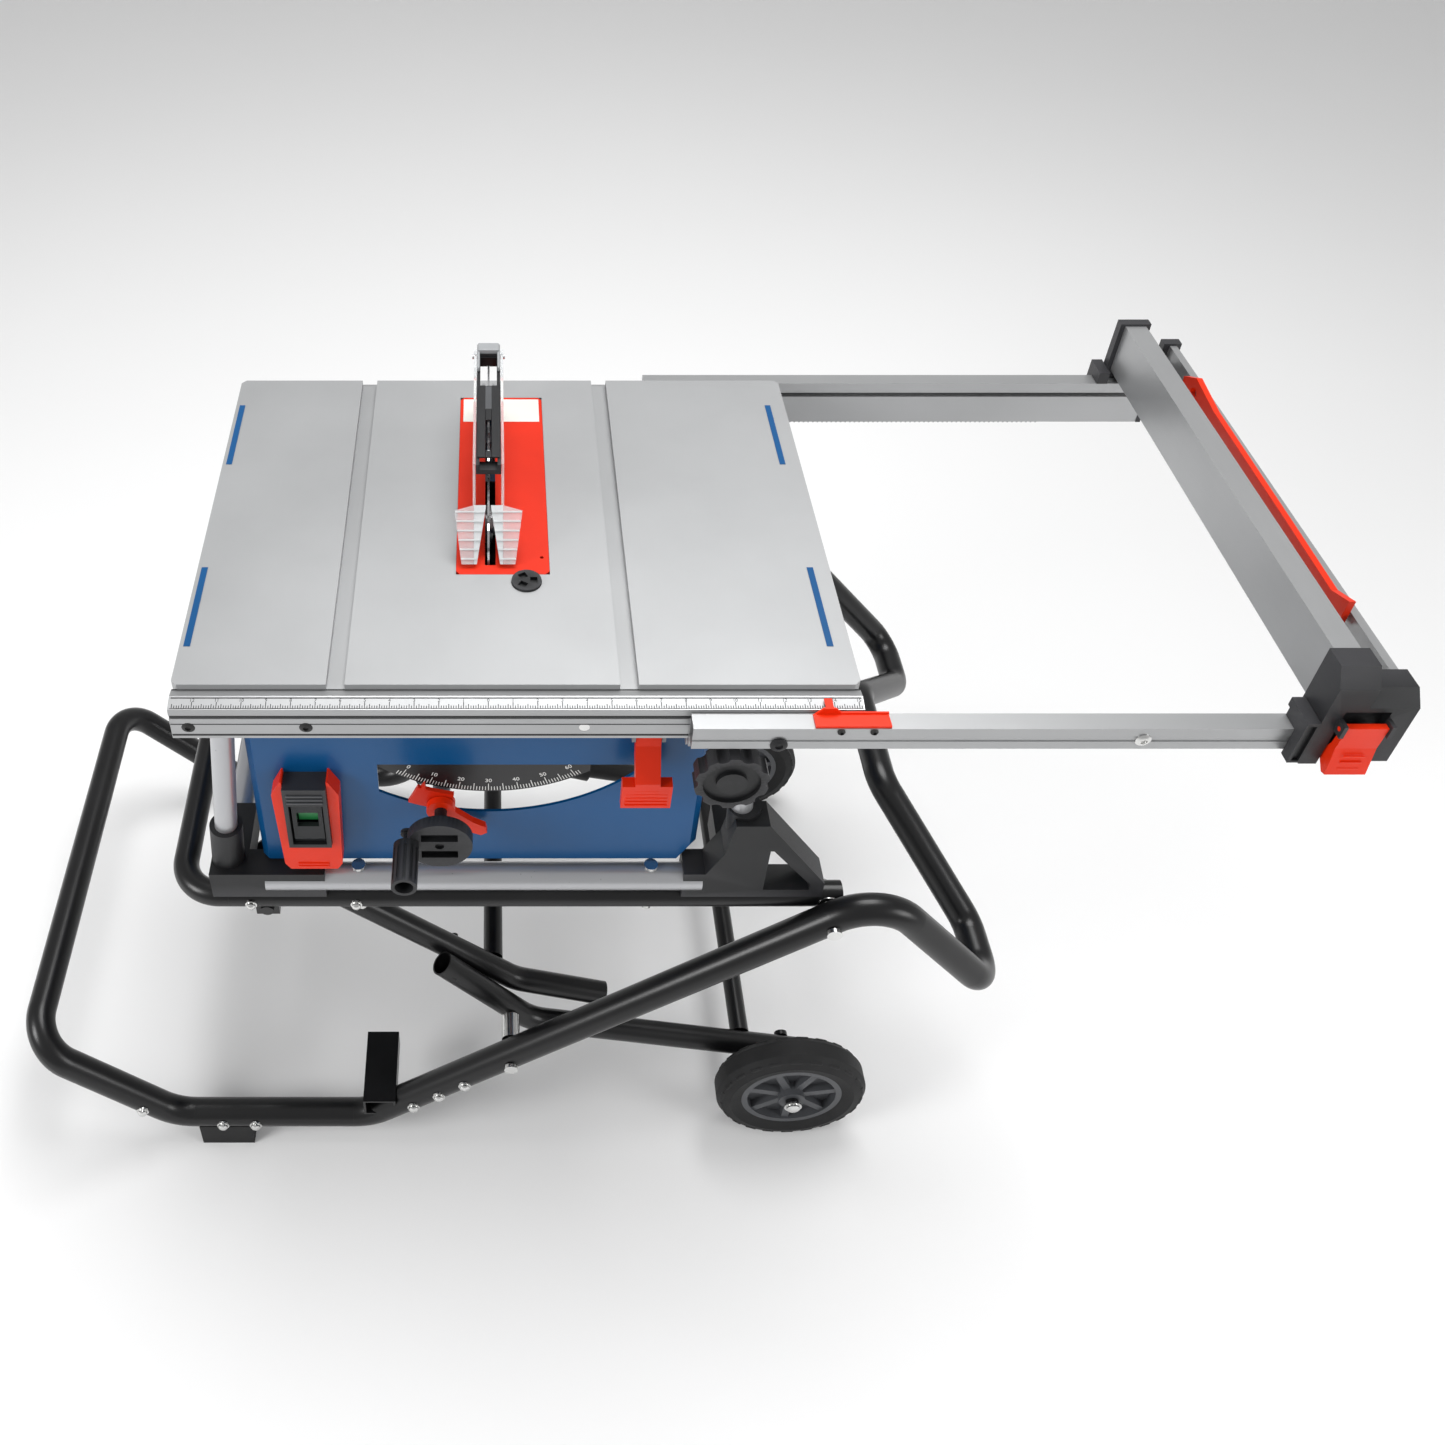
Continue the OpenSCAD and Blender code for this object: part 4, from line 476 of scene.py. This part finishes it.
# half the width of the V, at its foot and over the flap's length
V_FOOT, V_CLOSES = 0.013, 0.0105
up = Vector((0, 50, 52)).normalized()
out = Vector((0, -52, 50)).normalized()
flap_axes = Matrix(((1, 0, 0, 0), (0, up.y, out.y, 0), (0, up.z, out.z, 0), (0, 0, 0, 1)))
flap_turn = Matrix.Translation(FLAP_FOOT) @ flap_axes


def add_plate(mesh, outline, low, high, turn):
    """A plate with the given outline, between two heights."""
    lower, upper = ([mesh.verts.new(turn @ Vector((x, y, z))) for x, y in outline] for z in (low, high))
    for k in range(len(outline)):
        after = (k + 1) % len(outline)
        mesh.faces.new((lower[k], lower[after], upper[after], upper[k]))
    mesh.faces.new(lower)
    mesh.faces.new(upper)
    bmesh.ops.recalc_face_normals(mesh, faces=mesh.faces[:])


for side, body in ((-1, "guard_left"), (1, "guard_right")):
    mesh = bmesh.new()
    for k in range(RIBS):
        along = FIRST_RIB + RIB_STEP * k
        wide = 0.030 + 0.125 * along
        inner = V_FOOT - V_CLOSES * along / FLAP_LENGTH
        x0, x1 = sorted((side * inner, side * wide))
        add_block(mesh, (x0, along - RIB_HALF, -0.0002), (x1, along + RIB_HALF, 0.0042), flap_turn)
    web = [(0.0165, 0), (0.0165, FLAP_LENGTH), (V_FOOT - V_CLOSES, FLAP_LENGTH), (V_FOOT, 0)]
    add_plate(mesh, [(side * x, y) for x, y in web], 0.0003, 0.0027, flap_turn)
    piece_from(f"flap_ribs_{body[6:]}", mesh, frosted, body, 0.0004)
print("ribs on each flap", RIBS)

# %% [markdown]
# On top of the guard arm sit a pale catch at the rear, a smoke-grey lid and a black channel over the blade.
# The pawls swing up through the arm, so the catch is two cheeks and a thumb bar with room between them.

# %% Guard arm trim
arm_low, arm_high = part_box("guard_arm")
back, seat = arm_high.y - 0.001, arm_high.z


def arm_block(mesh, x0, x1, behind, ahead, low, high):
    """A block on the arm: x from the blade, y forward from its rear end, z from its top."""
    add_block(mesh, (BLADE_X + x0, back - behind, seat + low), (BLADE_X + x1, back - ahead, seat + high))


mesh = bmesh.new()
for x0, x1 in ((-0.0138, -0.0105), (0.0105, 0.0138)):
    arm_block(mesh, x0, x1, 0.052, 0, -0.0038, 0.0030)
arm_block(mesh, -0.0130, 0.0130, 0.018, 0.002, -0.0030, 0.0055)
piece_from("arm_latch", mesh, light_plastic, "lift", 0.0014)
mesh = bmesh.new()
arm_block(mesh, -0.0125, 0.0125, 0.130, 0.084, -0.0039, -0.0018)
piece_from("arm_lid", mesh, grey_plastic, "lift", 0.0012)
mesh = bmesh.new()
CHANNEL_HALF, OPENING_HALF = 0.0125, 0.0035
y0, y1 = arm_low.y + 0.012, arm_high.y - 0.084
z0, z1 = spot(0, 0, 989.1).z, spot(0, 0, 991.4).z
for x0, x1 in ((-CHANNEL_HALF, -OPENING_HALF), (OPENING_HALF, CHANNEL_HALF)):
    add_block(mesh, (BLADE_X + x0, y0, z0), (BLADE_X + x1, y1, z1))
bridge_half = OPENING_HALF - 0.0001
bridge_top = z1 - 0.0004
for start, end in ((y0 + 0.070, y1), (y0, y0 + 0.012)):
    add_block(mesh, (BLADE_X - bridge_half, start, z0), (BLADE_X + bridge_half, end, bridge_top))
piece_from("arm_channel", mesh, dark_plastic, "lift", 0.0005)
print("channel length", round(y1 - y0, 3))

# %% [markdown]
# Red levers have moulded ridges where the fingers press. The same small bars do for the rail lock, the
# fence latch, the switch surround and its hood.

# %% Grip ridges
def ridges(name, body, material, x0, x1, y, z_values, depth=1.2, tall=1.6):
    mesh = bmesh.new()
    for z in z_values:
        add_block(mesh, spot(x0, y - depth, z - tall), spot(x1, y + depth, z + tall))
    piece_from(name, mesh, material, body, 0.0006)
    print(name, len(z_values))


ridges("lock_ridges", "rail_lock", red, 119, 165, -22.4, [727 + 6 * k for k in range(5)])
ridges("latch_ridges", "fence_latch", red, 820, 841, -70.4, [848 + 9 * k for k in range(3)], 1.0, 1.0)
ridges("bezel_ridges", "saw", red, -247, -211, -5.4, [594 + 4.5 * k for k in range(2)], 1.0, 1.2)
ridges("hood_ridges", "saw", grey_plastic, -249, -209, -11.6, [716 + 6 * k for k in range(3)], 1.0, 1.2)

# %% [markdown]
# The room is a pale floor that curves up behind, lit by one broad lamp above and two softer ones at the
# sides, as a product is lit in a studio. The floor is not part of the saw.

# %% Stage and light
floor_data = bpy.data.meshes.new("floor")
mesh = bmesh.new()
REACH = 9.0
rows = []
# flat to half its reach, then up a curve to the back wall
for y, z in [(-REACH, 0), (REACH * 0.5, 0), (REACH * 0.62, 0.15), (REACH * 0.7, 0.6), (REACH * 0.73, 5.0)]:
    rows.append([mesh.verts.new((x, y, z)) for x in (-REACH, REACH)])
for a, b in zip(rows, rows[1:]):
    mesh.faces.new((a[0], a[1], b[1], b[0]))
mesh.to_mesh(floor_data)
mesh.free()
floor = bpy.data.objects.new("floor", floor_data)
bpy.context.scene.collection.objects.link(floor)
floor_data.materials.append(surface("floor_paper", (0.86, 0.86, 0.86), 0.9, 0.0, 0.01, 0.5, 0.0, 100))


def lamp(name, place, aim, size, power):
    data = bpy.data.lights.new(name, "AREA")
    data.shape = "DISK"
    data.size = size
    data.energy = power
    thing = bpy.data.objects.new(name, data)
    thing.location = place
    thing.rotation_euler = (Vector(aim) - Vector(place)).to_track_quat("-Z", "Y").to_euler()
    bpy.context.scene.collection.objects.link(thing)


CENTRE = (0, 0, 0.6)
lamp("top", (0.3, 0.6, 3.6), CENTRE, 2.2, 88)
lamp("left", (-3.0, -1.6, 2.2), CENTRE, 1.4, 62)
lamp("right", (3.0, -1.8, 1.8), CENTRE, 1.4, 34)
world = bpy.data.worlds.new("room")
bpy.context.scene.world = world
world.use_nodes = True
world.node_tree.nodes["Background"].inputs["Color"].default_value = (1, 1, 1, 1)
world.node_tree.nodes["Background"].inputs["Strength"].default_value = 0.48
bpy.context.scene.view_settings.view_transform = "Standard"
